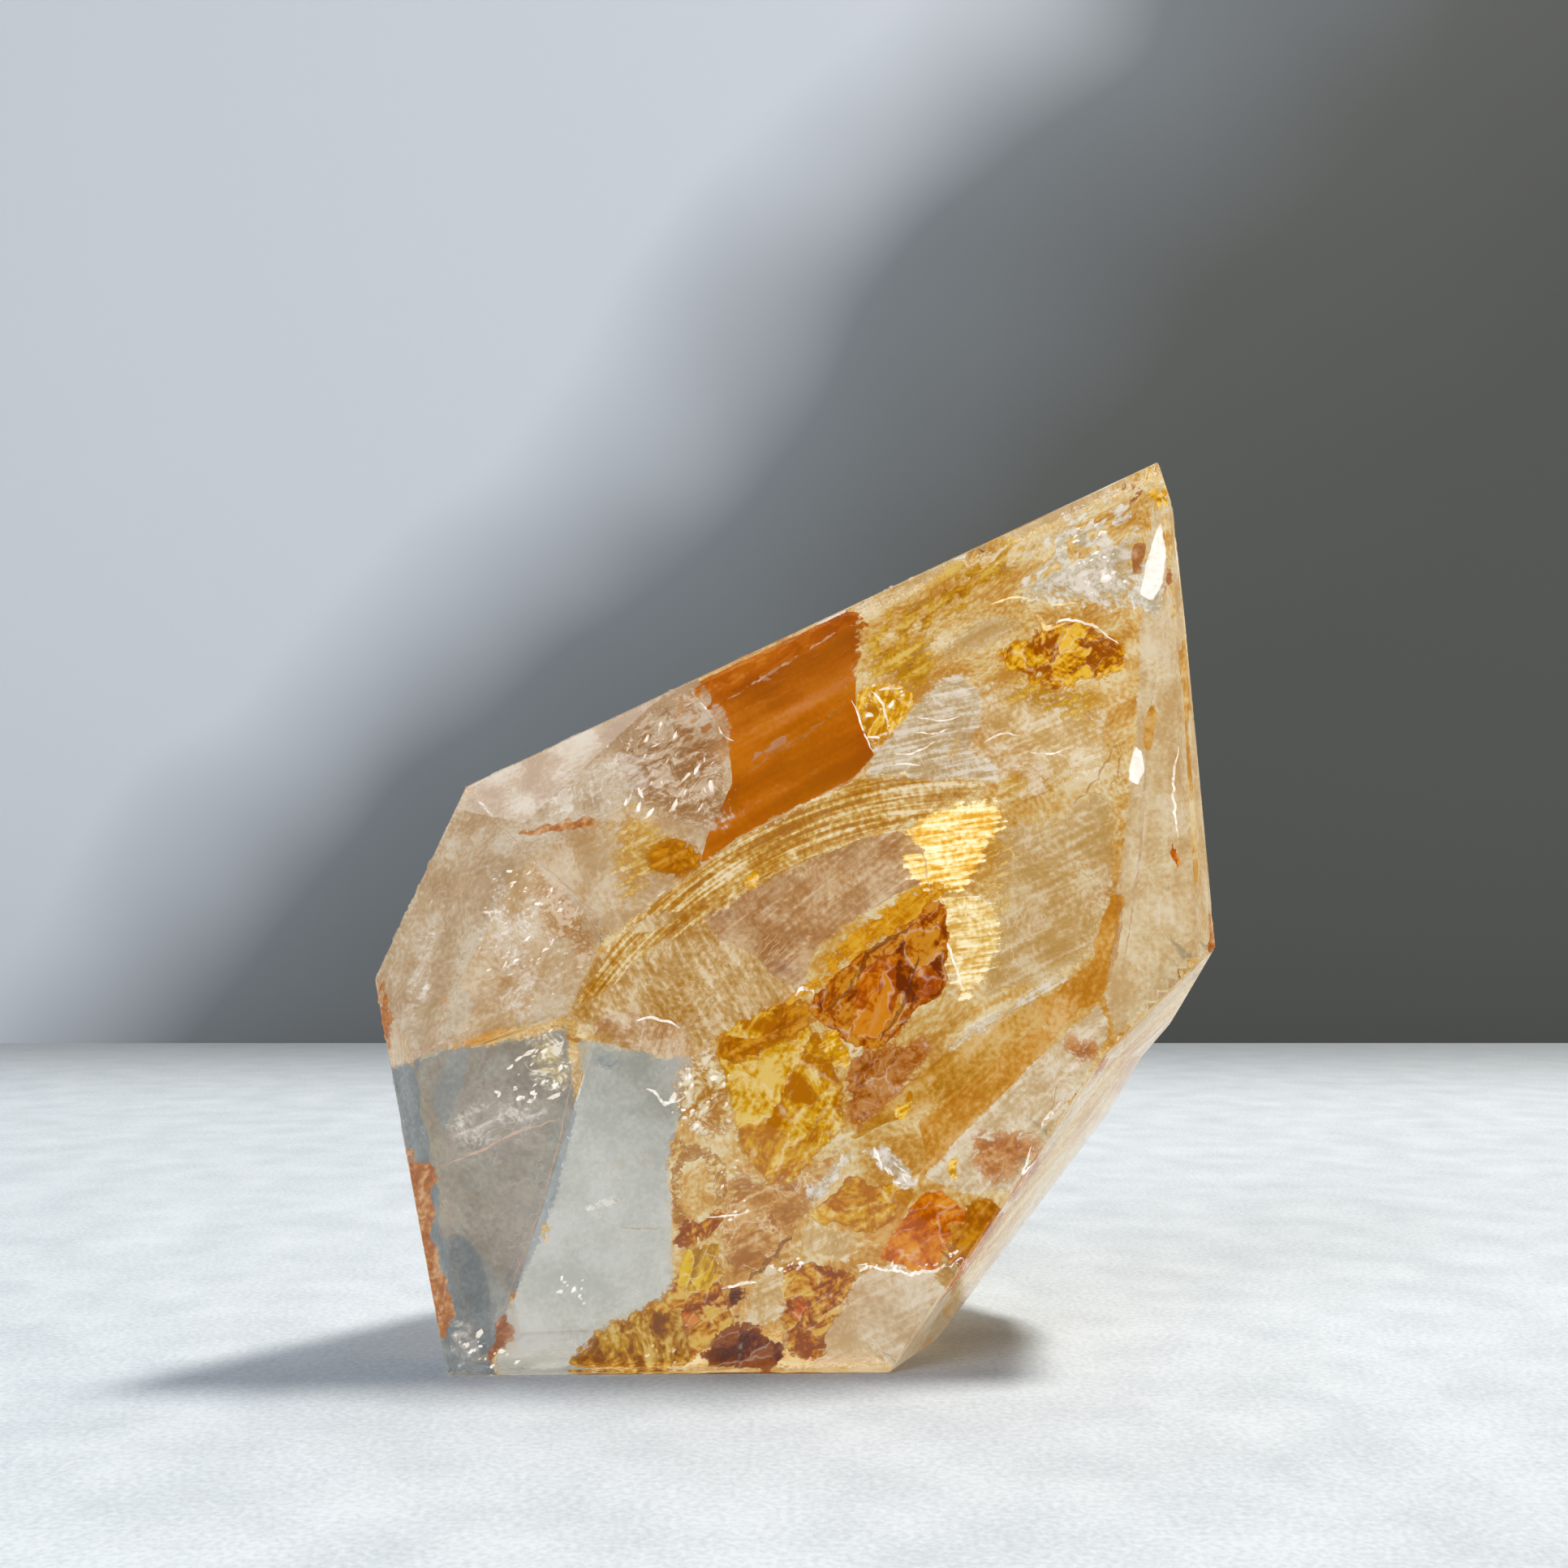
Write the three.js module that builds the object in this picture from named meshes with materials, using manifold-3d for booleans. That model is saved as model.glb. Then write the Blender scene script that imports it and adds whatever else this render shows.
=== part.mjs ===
// A golden healer quartz freeform: one lump of clear, iron-stained quartz, sawn and polished
// into irregular flats so that it stands on a flat base and leans up to an off-centre point.
//
// Units are millimetres and +Z is up. The stone rests on z = 0, the big window flat faces -Y,
// and the origin is the middle of the stone's bounding box, at its foot.

import * as THREE from 'three';
import { mergeVertices } from 'three/addons/utils/BufferGeometryUtils.js';
import Module from 'manifold-3d';

// ---- driving dimensions -----------------------------------------------------------------

// Rough block that the flats are cut from: wider, deeper and taller than the finished stone.
const ROUGH_BLOCK = { width: 96, depth: 60, height: 96 };

// Edge length of the half-space box that stands for one pass on the lapidary's flat wheel.
const LAP_SIZE = 400;

// Every convex flat. `facing` is the compass direction that the flat looks in, in degrees from
// the front (-Y) towards the right (+X). `lean` is how far it looks up from level, in degrees,
// negative where it looks down. `reach` is its distance from the foot of the stone's axis, mm.
const FLATS = {
  // the large window at the front, and the two broad flats behind it
  window: { facing: 1.5, lean: 7.5, reach: 17.9 },
  back: { facing: -175, lean: -10, reach: 6.7 },
  crown_slope: { facing: -150, lean: 41, reach: 35.7 },

  // left side, from the shoulder down to the foot
  left_shoulder: { facing: -128.5, lean: 14, reach: 27 },
  left_flank: { facing: -130, lean: 6.5, reach: 23.6 },
  left_wall: { facing: -98.5, lean: -13.5, reach: 25.6 },
  left_foot: { facing: -94.5, lean: -13.5, reach: 26.9 },

  // right side, from the point down to the widest corner
  point_right: { facing: 110.5, lean: 12, reach: 45.2 },
  right_wall: { facing: 98, lean: 2.5, reach: 36.6 },
  right_corner: { facing: 95.5, lean: 2, reach: 36.6 },
  right_back: { facing: 121.5, lean: -16.5, reach: 21.7 },
  right_heel: { facing: 150, lean: -14.5, reach: 17.7 },

  // underneath, between the back and the overhanging right side
  keel_inner: { facing: 180, lean: -15.5, reach: 5.7 },
  keel_outer: { facing: 140, lean: -47, reach: 1.9 },
};

// The overhang under the right side is two flats that meet in a shallow inside crease, so only
// what lies outside both of them is ground away.
const OVERHANG = {
  lower: { facing: 66, lean: -31.5, reach: 12.1 },
  upper: { facing: 64.5, lean: -42, reach: 5 },
};

// Clear quartz with iron stain, as it looks from a step away.
const QUARTZ_FINISH = {
  color: 0xe3c193,
  roughness: 0.06,
  metalness: 0,
  transparent: true,
  opacity: 0.55,
};

// ---- solids -----------------------------------------------------------------------------

const wasm = await Module();
wasm.setup();

/** Turn a closed three.js geometry into a solid that can be cut. */
function toSolid(geometry) {
  const bare = geometry.clone();
  bare.deleteAttribute('normal');
  bare.deleteAttribute('uv');
  const merged = mergeVertices(bare);
  const mesh = new wasm.Mesh({
    numProp: 3,
    vertProperties: new Float32Array(merged.attributes.position.array),
    triVerts: new Uint32Array(merged.index.array),
  });
  return new wasm.Manifold(mesh);
}

/** Turn a cut solid back into a three.js geometry with flat-shaded faces. */
function toGeometry(solid) {
  const mesh = solid.getMesh();
  const geometry = new THREE.BufferGeometry();
  geometry.setAttribute('position', new THREE.BufferAttribute(mesh.vertProperties, 3));
  geometry.setIndex(new THREE.BufferAttribute(mesh.triVerts, 1));
  geometry.computeVertexNormals();
  return geometry;
}

/** Unit vector that a flat looks along. */
function outward({ facing, lean }) {
  const around = THREE.MathUtils.degToRad(facing);
  const up = THREE.MathUtils.degToRad(lean);
  return new THREE.Vector3(
    Math.sin(around) * Math.cos(up),
    -Math.cos(around) * Math.cos(up),
    Math.sin(up),
  );
}

/** Everything beyond one flat, as a large box whose near face lies on that flat. */
function beyond(flat) {
  const box = new THREE.BoxGeometry(LAP_SIZE, LAP_SIZE, LAP_SIZE);
  box.translate(0, 0, flat.reach + LAP_SIZE / 2);
  const turn = new THREE.Quaternion().setFromUnitVectors(new THREE.Vector3(0, 0, 1), outward(flat));
  box.applyQuaternion(turn);
  return toSolid(box);
}

/** The rough block, standing on z = 0. */
function roughBlock() {
  const { width, depth, height } = ROUGH_BLOCK;
  const block = new THREE.BoxGeometry(width, depth, height);
  block.translate(0, 0, height / 2);
  return toSolid(block);
}

/** Grind every flat onto the block, then open the creased overhang. */
function grindStone() {
  let stone = roughBlock();
  for (const flat of Object.values(FLATS)) {
    stone = stone.subtract(beyond(flat));
  }
  const overhang = beyond(OVERHANG.lower).intersect(beyond(OVERHANG.upper));
  return stone.subtract(overhang);
}

/** Slide a geometry sideways so that the middle of its box stands over the origin. */
function centreOverOrigin(geometry) {
  geometry.computeBoundingBox();
  const middle = geometry.boundingBox.getCenter(new THREE.Vector3());
  geometry.translate(-middle.x, -middle.y, 0);
  return geometry;
}

// ---- the part ---------------------------------------------------------------------------

const quartz = new THREE.Mesh(
  centreOverOrigin(toGeometry(grindStone())),
  new THREE.MeshStandardMaterial(QUARTZ_FINISH),
);
quartz.name = 'quartz_freeform';

const part = new THREE.Group();
part.add(quartz);

export default part;
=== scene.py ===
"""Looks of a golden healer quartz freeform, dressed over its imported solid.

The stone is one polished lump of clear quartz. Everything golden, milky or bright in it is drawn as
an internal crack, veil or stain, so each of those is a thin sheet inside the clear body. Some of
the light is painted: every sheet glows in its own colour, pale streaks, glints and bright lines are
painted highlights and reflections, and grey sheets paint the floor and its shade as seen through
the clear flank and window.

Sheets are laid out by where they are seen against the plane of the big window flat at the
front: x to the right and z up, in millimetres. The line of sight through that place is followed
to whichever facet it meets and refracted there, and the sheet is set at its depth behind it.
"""

import logging
import math
from dataclasses import dataclass, field, replace
from enum import Enum
from random import Random

import bpy
import numpy as np
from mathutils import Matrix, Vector, noise
from mathutils.bvhtree import BVHTree

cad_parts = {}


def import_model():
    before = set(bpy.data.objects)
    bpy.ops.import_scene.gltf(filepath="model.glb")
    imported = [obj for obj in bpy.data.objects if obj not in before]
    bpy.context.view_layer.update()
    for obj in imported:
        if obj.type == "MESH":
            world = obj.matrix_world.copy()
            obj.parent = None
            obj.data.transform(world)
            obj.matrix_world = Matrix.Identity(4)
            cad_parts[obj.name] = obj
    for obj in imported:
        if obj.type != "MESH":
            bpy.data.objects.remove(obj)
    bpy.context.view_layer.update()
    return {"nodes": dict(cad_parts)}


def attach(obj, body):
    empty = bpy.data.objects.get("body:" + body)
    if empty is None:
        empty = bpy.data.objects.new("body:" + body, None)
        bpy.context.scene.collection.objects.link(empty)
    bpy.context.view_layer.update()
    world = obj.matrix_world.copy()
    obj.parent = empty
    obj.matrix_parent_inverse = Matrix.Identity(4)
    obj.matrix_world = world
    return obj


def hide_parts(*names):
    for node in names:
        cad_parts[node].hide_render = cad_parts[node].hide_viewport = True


LOG = logging.getLogger("quartz")

MM = 0.001
QUARTZ_IOR = 1.544
STONE_NODE = "quartz_freeform"
BODY = "root"
FLOW_MAP = "flow"
RIM = "rim"

# How much of its fade a sheet keeps beyond its outline. Past that few tatters would show, and
# leaving them out saves render time.
FRINGE_SHARE = 0.6

# Ray casts inside the quartz start this far past its skin, and sheets stay this far inside it.
SKIN_STEP = 0.05
SKIN_MARGIN = 0.3

# A line of sight that runs flatter than this along its facet counts as this steep.
LEAST_STEEPNESS = 0.2

# Halvings that find the stone's outline between two places.
OUTLINE_STEPS = 7

# Cells along even the shortest crack, and how far to both sides its course is eased and its
# direction read, in millimetres.
FEWEST_STEPS = 5
EASE = 0.5
LOOK_AROUND = 0.2

# A place beside the stone is drawn in to its outline from up to this many cells away.
DRAW_IN_CELLS = 1.6

# Noise stays mostly this far from its middle, so tones are spread over that much.
NOISE_REACH = 0.13

Point2 = tuple[float, float]
Point3 = tuple[float, float, float]
Colour = tuple[float, float, float]
Outline = tuple[Point2, ...]


# ---- small helpers ----------------------------------------------------------------------


def linear(colour: Colour) -> tuple[float, float, float, float]:
    """Turn a screen colour into the linear one that shaders take.

    Args:
        colour: red, green and blue from 0 to 255.

    Returns:
        Linear red, green, blue and an alpha of 1.
    """
    parts = [c / 255 for c in colour]
    low = [p / 12.92 if p <= 0.04045 else ((p + 0.055) / 1.055) ** 2.4 for p in parts]
    return (low[0], low[1], low[2], 1.0)


def deselect_all() -> None:
    """Leave object mode with nothing selected."""
    if bpy.context.mode != "OBJECT":
        bpy.ops.object.mode_set(mode="OBJECT")
    bpy.ops.object.select_all(action="DESELECT")


def make_active(piece: bpy.types.Object) -> None:
    """Select one object alone and make it the active one."""
    deselect_all()
    piece.select_set(True)
    bpy.context.view_layer.objects.active = piece


def new_grid(name: str, columns: int, rows: int) -> bpy.types.Object:
    """Add a flat grid of side 2 that is still to be shaped.

    Args:
        name: name of the piece and its mesh.
        columns: cells along X.
        rows: cells along Y.

    Returns:
        The new mesh object.
    """
    deselect_all()
    bpy.ops.mesh.primitive_grid_add(x_subdivisions=columns, y_subdivisions=rows, size=2)
    piece = bpy.context.object
    rename(piece, name)
    return piece


def rename(piece: bpy.types.Object, name: str) -> None:
    """Name an object and its mesh alike."""
    piece.name = name
    piece.data.name = name


def apply_modifier(piece: bpy.types.Object, kind: str, **settings: object) -> None:
    """Add a modifier, set it up and apply it.

    Args:
        piece: the mesh object that it goes on.
        kind: Blender's name for the modifier type.
        settings: the modifier's properties.
    """
    make_active(piece)
    modifier = piece.modifiers.new(kind.title(), kind)
    for key, value in settings.items():
        setattr(modifier, key, value)
    bpy.ops.object.modifier_apply(modifier=modifier.name)


def adopt(piece: bpy.types.Object) -> None:
    """Say that a piece belongs to the stone's body."""
    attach(piece, BODY)
    LOG.info("%s: %d faces", piece.name, len(piece.data.polygons))


# ---- shader maths -----------------------------------------------------------------------


class ShardPart(Enum):
    """What is read from the pattern of flat shards: its Voronoi feature and that one's output."""

    TONE = ("F1", "Color")
    GAP = ("DISTANCE_TO_EDGE", "Distance")


class Value:
    """A shader socket that can be used in sums, as a number would be."""

    def __init__(self, shader: "Shader", socket: bpy.types.NodeSocket) -> None:
        """Keep the socket and the shader that new Math nodes go in."""
        self.shader = shader
        self.socket = socket

    def _math(self, operation: str, first: object, second: object) -> "Value":
        """Add one Math node and return its result."""
        return self.shader.node("ShaderNodeMath", {"operation": operation}, {0: first, 1: second})

    def __add__(self, other: object) -> "Value":
        """Sum."""
        return self._math("ADD", self, other)

    def __radd__(self, other: object) -> "Value":
        """Sum, reflected."""
        return self._math("ADD", other, self)

    def __sub__(self, other: object) -> "Value":
        """Difference."""
        return self._math("SUBTRACT", self, other)

    def __rsub__(self, other: object) -> "Value":
        """Difference, reflected."""
        return self._math("SUBTRACT", other, self)

    def __mul__(self, other: object) -> "Value":
        """Product."""
        return self._math("MULTIPLY", self, other)

    def __rmul__(self, other: object) -> "Value":
        """Product, reflected."""
        return self._math("MULTIPLY", other, self)

    def clamped(self) -> "Value":
        """The value kept between 0 and 1."""
        settings = {"operation": "ADD", "use_clamp": True}
        return self.shader.node("ShaderNodeMath", settings, {0: self, 1: 0.0})


class Shader:
    """A new material and the nodes in it."""

    def __init__(self, name: str) -> None:
        """Make a material that holds only its output node."""
        self.material = bpy.data.materials.new(name)
        self.material.use_nodes = True
        self.tree = self.material.node_tree
        self.tree.nodes.clear()
        self.output = self.tree.nodes.new("ShaderNodeOutputMaterial")

    def feed(self, socket: bpy.types.NodeSocket, value: object) -> None:
        """Link a Value into a socket, or set the socket's own number or colour.

        Args:
            socket: the input to fill.
            value: what fills it.
        """
        if isinstance(value, Value):
            self.tree.links.new(value.socket, socket)
        else:
            socket.default_value = value

    def node(
        self,
        kind: str,
        settings: dict[str, object] | None = None,
        inputs: dict[object, object] | None = None,
        output: object = 0,
    ) -> Value:
        """Add one node of any type.

        Args:
            kind: the node's type name.
            settings: its properties; "stops" holds a ramp's (place, colour) pairs.
            inputs: numbers, colours or Values for its sockets, by name or number.
            output: which of its outputs to return.

        Returns:
            The chosen output, ready for sums.
        """
        made = self.tree.nodes.new(kind)
        for key, value in (settings or {}).items():
            if key == "stops":
                self._set_stops(made.color_ramp, value)
            else:
                setattr(made, key, value)
        for key, value in (inputs or {}).items():
            self.feed(made.inputs[key], value)
        return Value(self, made.outputs[output])

    @staticmethod
    def _set_stops(ramp: bpy.types.ColorRamp, stops: list) -> None:
        """Give a colour ramp its stops.

        Args:
            ramp: the ramp of a new node.
            stops: its (place, colour) pairs in order.
        """
        while len(ramp.elements) < len(stops):
            ramp.elements.new(0.5)
        for element, (place, colour) in zip(ramp.elements, stops):
            element.position = place
            element.color = colour

    def millimetres(self, stretch: Point3 = (1, 1, 1), turn: Point3 = (0, 0, 0)) -> Value:
        """Object coordinates in millimetres, stretched and turned by a Mapping node.

        Args:
            stretch: how many times longer the pattern is along each axis.
            turn: rotation about X, Y and Z in degrees.
        """
        place = self.node("ShaderNodeTexCoord", output="Object")
        scale = tuple(1 / MM / s for s in stretch)
        angles = tuple(math.radians(a) for a in turn)
        turned = self.node("ShaderNodeMapping", None, {"Vector": place, "Rotation": angles})
        return self.node("ShaderNodeMapping", None, {"Vector": turned, "Scale": scale})

    def noise(self, vector: Value, size: float, detail: float = 4, warp: float = 0) -> Value:
        """Cloudy noise from 0 to 1, with blobs of about the given size in millimetres."""
        inputs = {"Vector": vector, "Scale": 1 / size, "Detail": detail, "Distortion": warp}
        return self.node("ShaderNodeTexNoise", None, inputs)

    def ramp(self, value: Value, stops: list) -> Value:
        """Colour ramp over a value."""
        return self.node("ShaderNodeValToRGB", {"stops": stops}, {0: value})

    def step(self, value: Value, low: float, high: float) -> Value:
        """Smooth rise from 0 at low to 1 at high.

        Args:
            value: what rises.
            low: where the rise starts.
            high: where it ends.

        Returns:
            The eased share from 0 to 1.
        """
        settings = {"interpolation_type": "SMOOTHSTEP"}
        inputs = {0: value, 1: low, 2: high}
        return self.node("ShaderNodeMapRange", settings, inputs)

    def tint(self, colour: Value, factor: object, other: object, mode: str = "MIX") -> Value:
        """Mix two colours by a factor.

        Args:
            colour: the colour at factor 0.
            factor: share of the other.
            other: the colour at factor 1.
            mode: Blender's name for the way of mixing.

        Returns:
            The mixed colour.
        """
        settings = {"data_type": "RGBA", "blend_type": mode}
        inputs = {0: factor, 6: colour, 7: other}
        return self.node("ShaderNodeMix", settings, inputs, output=2)

    def bump(self, height: Value, distance: float, strength: float) -> Value:
        """Normal that follows a height, with its relief in millimetres."""
        inputs = {"Height": height, "Distance": distance * MM, "Strength": strength}
        return self.node("ShaderNodeBump", None, inputs)

    def surface(self, **inputs: object) -> bpy.types.Material:
        """Finish the material as one Principled surface.

        Args:
            inputs: socket names with underscores for spaces, and their values.

        Returns:
            The material.
        """
        named = {key.replace("_", " "): value for key, value in inputs.items()}
        self.feed(self.output.inputs["Surface"], self.node("ShaderNodeBsdfPrincipled", None, named))
        return self.material

    def absorb(self, colour: Colour, density: float) -> None:
        """Fill the material with plain absorption.

        Args:
            colour: screen colour that passes unweakened.
            density: strength per metre.
        """
        inputs = {"Color": linear(colour), "Density": density}
        volume = self.node("ShaderNodeVolumeAbsorption", None, inputs)
        self.feed(self.output.inputs["Volume"], volume)


# ---- finishes ---------------------------------------------------------------------------


@dataclass(frozen=True)
class ClearQuartz:
    """Polished clear quartz, faintly warm where light goes a long way through it."""

    tint: Colour = (255, 236, 200)
    density: float = 5.0
    roughness: float = 0.015
    wheel_marks: float = 0.12

    def material(self) -> bpy.types.Material:
        """Build the see-through body of the stone."""
        shader = Shader("clear_quartz")
        place = shader.millimetres()
        orange_peel = shader.noise(place, 5.0, detail=2)
        normal = shader.bump(orange_peel, 0.02, self.wheel_marks)
        shader.absorb(self.tint, self.density)
        return shader.surface(
            Base_Color=(1, 1, 1, 1),
            Transmission_Weight=1.0,
            IOR=QUARTZ_IOR,
            Roughness=self.roughness,
            Normal=normal,
        )


@dataclass(frozen=True)
class Stain:
    """Finish of one kind of internal sheet.

    tones are screen colours from the lowest patches of its pattern to the highest, and edge is
    the darker colour that gathers where a patch ends. cover is how much of the sheet shows, and
    about 1 fills it to its rim. soft is how gently it fades, and solid its greatest opacity.
    cloud is the size of its patches and streak the length and width of its streaks, in
    millimetres, with streaky as their share. swirl is how far slow noise pushes both about.
    grain is the size of its fine grit and gritty the share of that. tatter is how far its
    patches break up its rim, and contrast how sharply its tones part. shatter is the size of the
    flat shards in it, if it has any, painted_sheen the share of pale streaks, which are a painted
    highlight, and threads the opacity of the fine pale threads, with thread_size and thread_width
    for their spacing and width, all in the colour pale. painted_glow is the strength of emission in
    the sheet's own colour, painted light that stands in for light shining through the stone; clear,
    gloss, roughness and ior are the shader's own values.
    """

    name: str
    tones: tuple[Colour, ...]
    edge: Colour | None = None
    cover: float = 0.7
    soft: float = 0.25
    solid: float = 0.9
    cloud: float = 4.0
    swirl: float = 1.5
    streak: Point2 = (9.0, 0.6)
    streaky: float = 0.5
    grain: float = 0.45
    gritty: float = 0.3
    tatter: float = 1.8
    contrast: float = 1.0
    shatter: float = 0.0
    painted_sheen: float = 0.15
    threads: float = 0.0
    thread_size: float = 2.5
    thread_width: float = 0.018
    pale: Colour = (255, 248, 230)
    painted_glow: float = 0.58
    clear: float = 0.12
    gloss: float = 0.15
    roughness: float = 0.5
    ior: float = 1.3

    def material(self) -> bpy.types.Material:
        """Build the finish, or fetch it where it is already built."""
        return bpy.data.materials.get(self.name) or self._made()

    def _made(self) -> bpy.types.Material:
        """Build the finish."""
        shader = Shader(self.name)
        place = self._swirled(shader)
        clouds = shader.noise(place, self.cloud, detail=4)
        grit = shader.noise(place, self.grain, detail=2)
        streaks = self._streaks(shader)
        pattern = clouds * (1 - self.streaky) + streaks * self.streaky
        if self.shatter:
            pattern = pattern + (self._shards(shader, ShardPart.TONE) - 0.5) * 0.3
        colour = self._toned(shader, pattern, grit)
        # Painted highlight: the brightest streaks are lightened towards the colour pale, by the share
        # painted_sheen.
        painted_highlight = shader.step(streaks + (grit - 0.5) * 0.5, 0.58, 0.76) * self.painted_sheen
        colour = shader.tint(colour, painted_highlight, linear(self.pale))
        level = self._level(shader, pattern, grit)
        if self.edge is not None:
            skirt = 1 - shader.step(level, self.soft * 0.5, self.soft + 0.4)
            colour = shader.tint(colour, skirt * 0.6, linear(self.edge))
        alpha = shader.step(level, 0.0, self.soft) * self.solid
        lines = self._lines(shader, place, clouds)
        if lines is not None:
            lines = (lines * shader.step(level, 0.1, 0.5)).clamped()
            alpha = (alpha + lines).clamped()
            colour = shader.tint(colour, lines, linear(self.pale))
        # The emission in the sheet's own colour is painted light, as if the sheet were lit through the
        # stone.
        return shader.surface(
            Base_Color=colour,
            Alpha=alpha,
            Roughness=self.roughness,
            Transmission_Weight=self.clear,
            IOR=self.ior,
            Specular_IOR_Level=self.gloss,
            Emission_Color=colour,
            Emission_Strength=self.painted_glow,
        )

    def _toned(self, shader: Shader, pattern: Value, grit: Value) -> Value:
        """The sheet's tones, spread over its pattern and grit.

        Args:
            shader: the material that the nodes go in.
            pattern: clouds and streaks together.
            grit: fine noise.

        Returns:
            The colour.
        """
        texture = pattern * (1 - self.gritty) + grit * self.gritty
        reach = NOISE_REACH / self.contrast
        spread = shader.step(texture, 0.5 - reach, 0.5 + reach)
        last = len(self.tones) - 1
        stops = [(i / last, linear(tone)) for i, tone in enumerate(self.tones)]
        return shader.ramp(spread, stops)

    def _level(self, shader: Shader, pattern: Value, grit: Value) -> Value:
        """How far a place is inside the patches, above 0 where the sheet shows.

        Args:
            shader: the material that the nodes go in.
            pattern: clouds and streaks together.
            grit: fine noise.

        Returns:
            The level.
        """
        rim = shader.node("ShaderNodeAttribute", {"attribute_name": RIM}, output="Fac")
        reached = shader.step(rim, -1.0, 1.0) * 2 - 1
        broken = (pattern - 0.5) * self.tatter + (grit - 0.5) * (self.tatter * 0.6)
        return reached + broken + (self.cover - 1)

    def _lines(self, shader: Shader, place: Value, clouds: Value) -> Value | None:
        """Pale lines along the gaps between shards and along threads, or None without any.

        Args:
            shader: the material that the nodes go in.
            place: swirled coordinates.
            clouds: the noise that the lines keep to.

        Returns:
            The lines' opacity.
        """
        lines = None
        if self.shatter:
            gap = self._shards(shader, ShardPart.GAP)
            lines = (1 - shader.step(gap, 0.0, 0.07)) * shader.step(clouds, 0.42, 0.6) * 0.25
        if self.threads:
            threads = self._thread_lines(shader, place) * shader.step(clouds, 0.4, 0.6)
            lines = threads * self.threads + (lines or 0.0)
        return lines

    def _shards(self, shader: Shader, part: ShardPart) -> Value:
        """Flat shards drawn out along the sheet's bands.

        Args:
            shader: the material that the nodes go in.
            part: whether each shard's own tone is wanted, or the gaps between them.

        Returns:
            The tone or the distance to the nearest gap.
        """
        feature, output = part.value
        flow = shader.node("ShaderNodeUVMap", {"uv_map": FLOW_MAP})
        push = shader.node("ShaderNodeTexNoise", None, {"Vector": flow, "Scale": 0.7}, "Color")
        settings = {"operation": "MULTIPLY_ADD"}
        bent = shader.node(
            "ShaderNodeVectorMath", settings, {0: push, 1: (self.shatter,) * 3, 2: flow}
        )
        scale = (1 / (self.shatter * 2), 1 / self.shatter, 1)
        cells = shader.node("ShaderNodeMapping", None, {"Vector": bent, "Scale": scale})
        settings = {"voronoi_dimensions": "2D", "feature": feature}
        return shader.node(
            "ShaderNodeTexVoronoi", settings, {"Vector": cells, "Scale": 1.0}, output
        )

    def _swirled(self, shader: Shader) -> Value:
        """Object coordinates in millimetres, pushed about by slow noise.

        Args:
            shader: the material that the nodes go in.

        Returns:
            The coordinates.
        """
        place = shader.millimetres()
        inputs = {"Vector": place, "Scale": 0.6 / self.cloud, "Detail": 1.0}
        push = shader.node("ShaderNodeTexNoise", None, inputs, output="Color")
        settings = {"operation": "MULTIPLY_ADD"}
        half = (self.swirl,) * 3
        return shader.node("ShaderNodeVectorMath", settings, {0: push, 1: half, 2: place})

    def _streaks(self, shader: Shader) -> Value:
        """Noise drawn out along the sheet's bands.

        Args:
            shader: the material that the nodes go in.

        Returns:
            The noise, from 0 to 1.
        """
        flow = shader.node("ShaderNodeUVMap", {"uv_map": FLOW_MAP})
        length, width = self.streak
        scale = (1 / length, 1 / width, 1)
        along = shader.node("ShaderNodeMapping", None, {"Vector": flow, "Scale": scale})
        inputs = {"Vector": along, "Scale": 1.0, "Detail": 3.0, "Distortion": 0.2}
        return shader.node("ShaderNodeTexNoise", {"noise_dimensions": "2D"}, inputs)

    def _thread_lines(self, shader: Shader, place: Value) -> Value:
        """Fine winding lines, 1 on a line and 0 off it.

        Args:
            shader: the material that the nodes go in.
            place: swirled coordinates.

        Returns:
            The lines.
        """
        inputs = {"Vector": place, "Scale": 1 / self.thread_size, "Detail": 3.0}
        field_ = shader.node("ShaderNodeTexNoise", None, inputs)
        distance = shader.node("ShaderNodeMath", {"operation": "ABSOLUTE"}, {0: field_ - 0.5})
        return 1 - shader.step(distance, 0.0, self.thread_width)


@dataclass(frozen=True)
class Gleam:
    """Finish of a thin line or a small shard inside the stone.

    Its pale tones and its emission are painted highlights and glints, standing in for light caught by
    cracks, flakes and facet edges; the amber and brown finishes are stain lines that emit light the
    same way. tones are its darker and lighter screen colours, painted_glow how strongly it shines and
    solid how opaque it is.
    """

    name: str
    tones: tuple[Colour, Colour]
    painted_glow: float = 0.6
    solid: float = 0.9
    roughness: float = 0.3
    patch: float = 1.1

    def material(self) -> bpy.types.Material:
        """Build the finish, or fetch it where it is already built."""
        return bpy.data.materials.get(self.name) or self._made()

    def _made(self) -> bpy.types.Material:
        """Build the finish."""
        shader = Shader(self.name)
        mottle = shader.noise(shader.millimetres(), self.patch, detail=3)
        dark, light = (linear(tone) for tone in self.tones)
        colour = shader.ramp(mottle, [(0.35, dark), (0.62, light)])
        broken = shader.step(shader.noise(shader.millimetres(), self.patch * 0.7, 2), 0.28, 0.5)
        # Painted highlight: the colour is also given off as emission, by painted_glow.
        return shader.surface(
            Base_Color=colour,
            Alpha=broken * self.solid,
            Roughness=self.roughness,
            Emission_Color=colour,
            Emission_Strength=self.painted_glow,
        )


# ---- the window -------------------------------------------------------------------------


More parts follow.
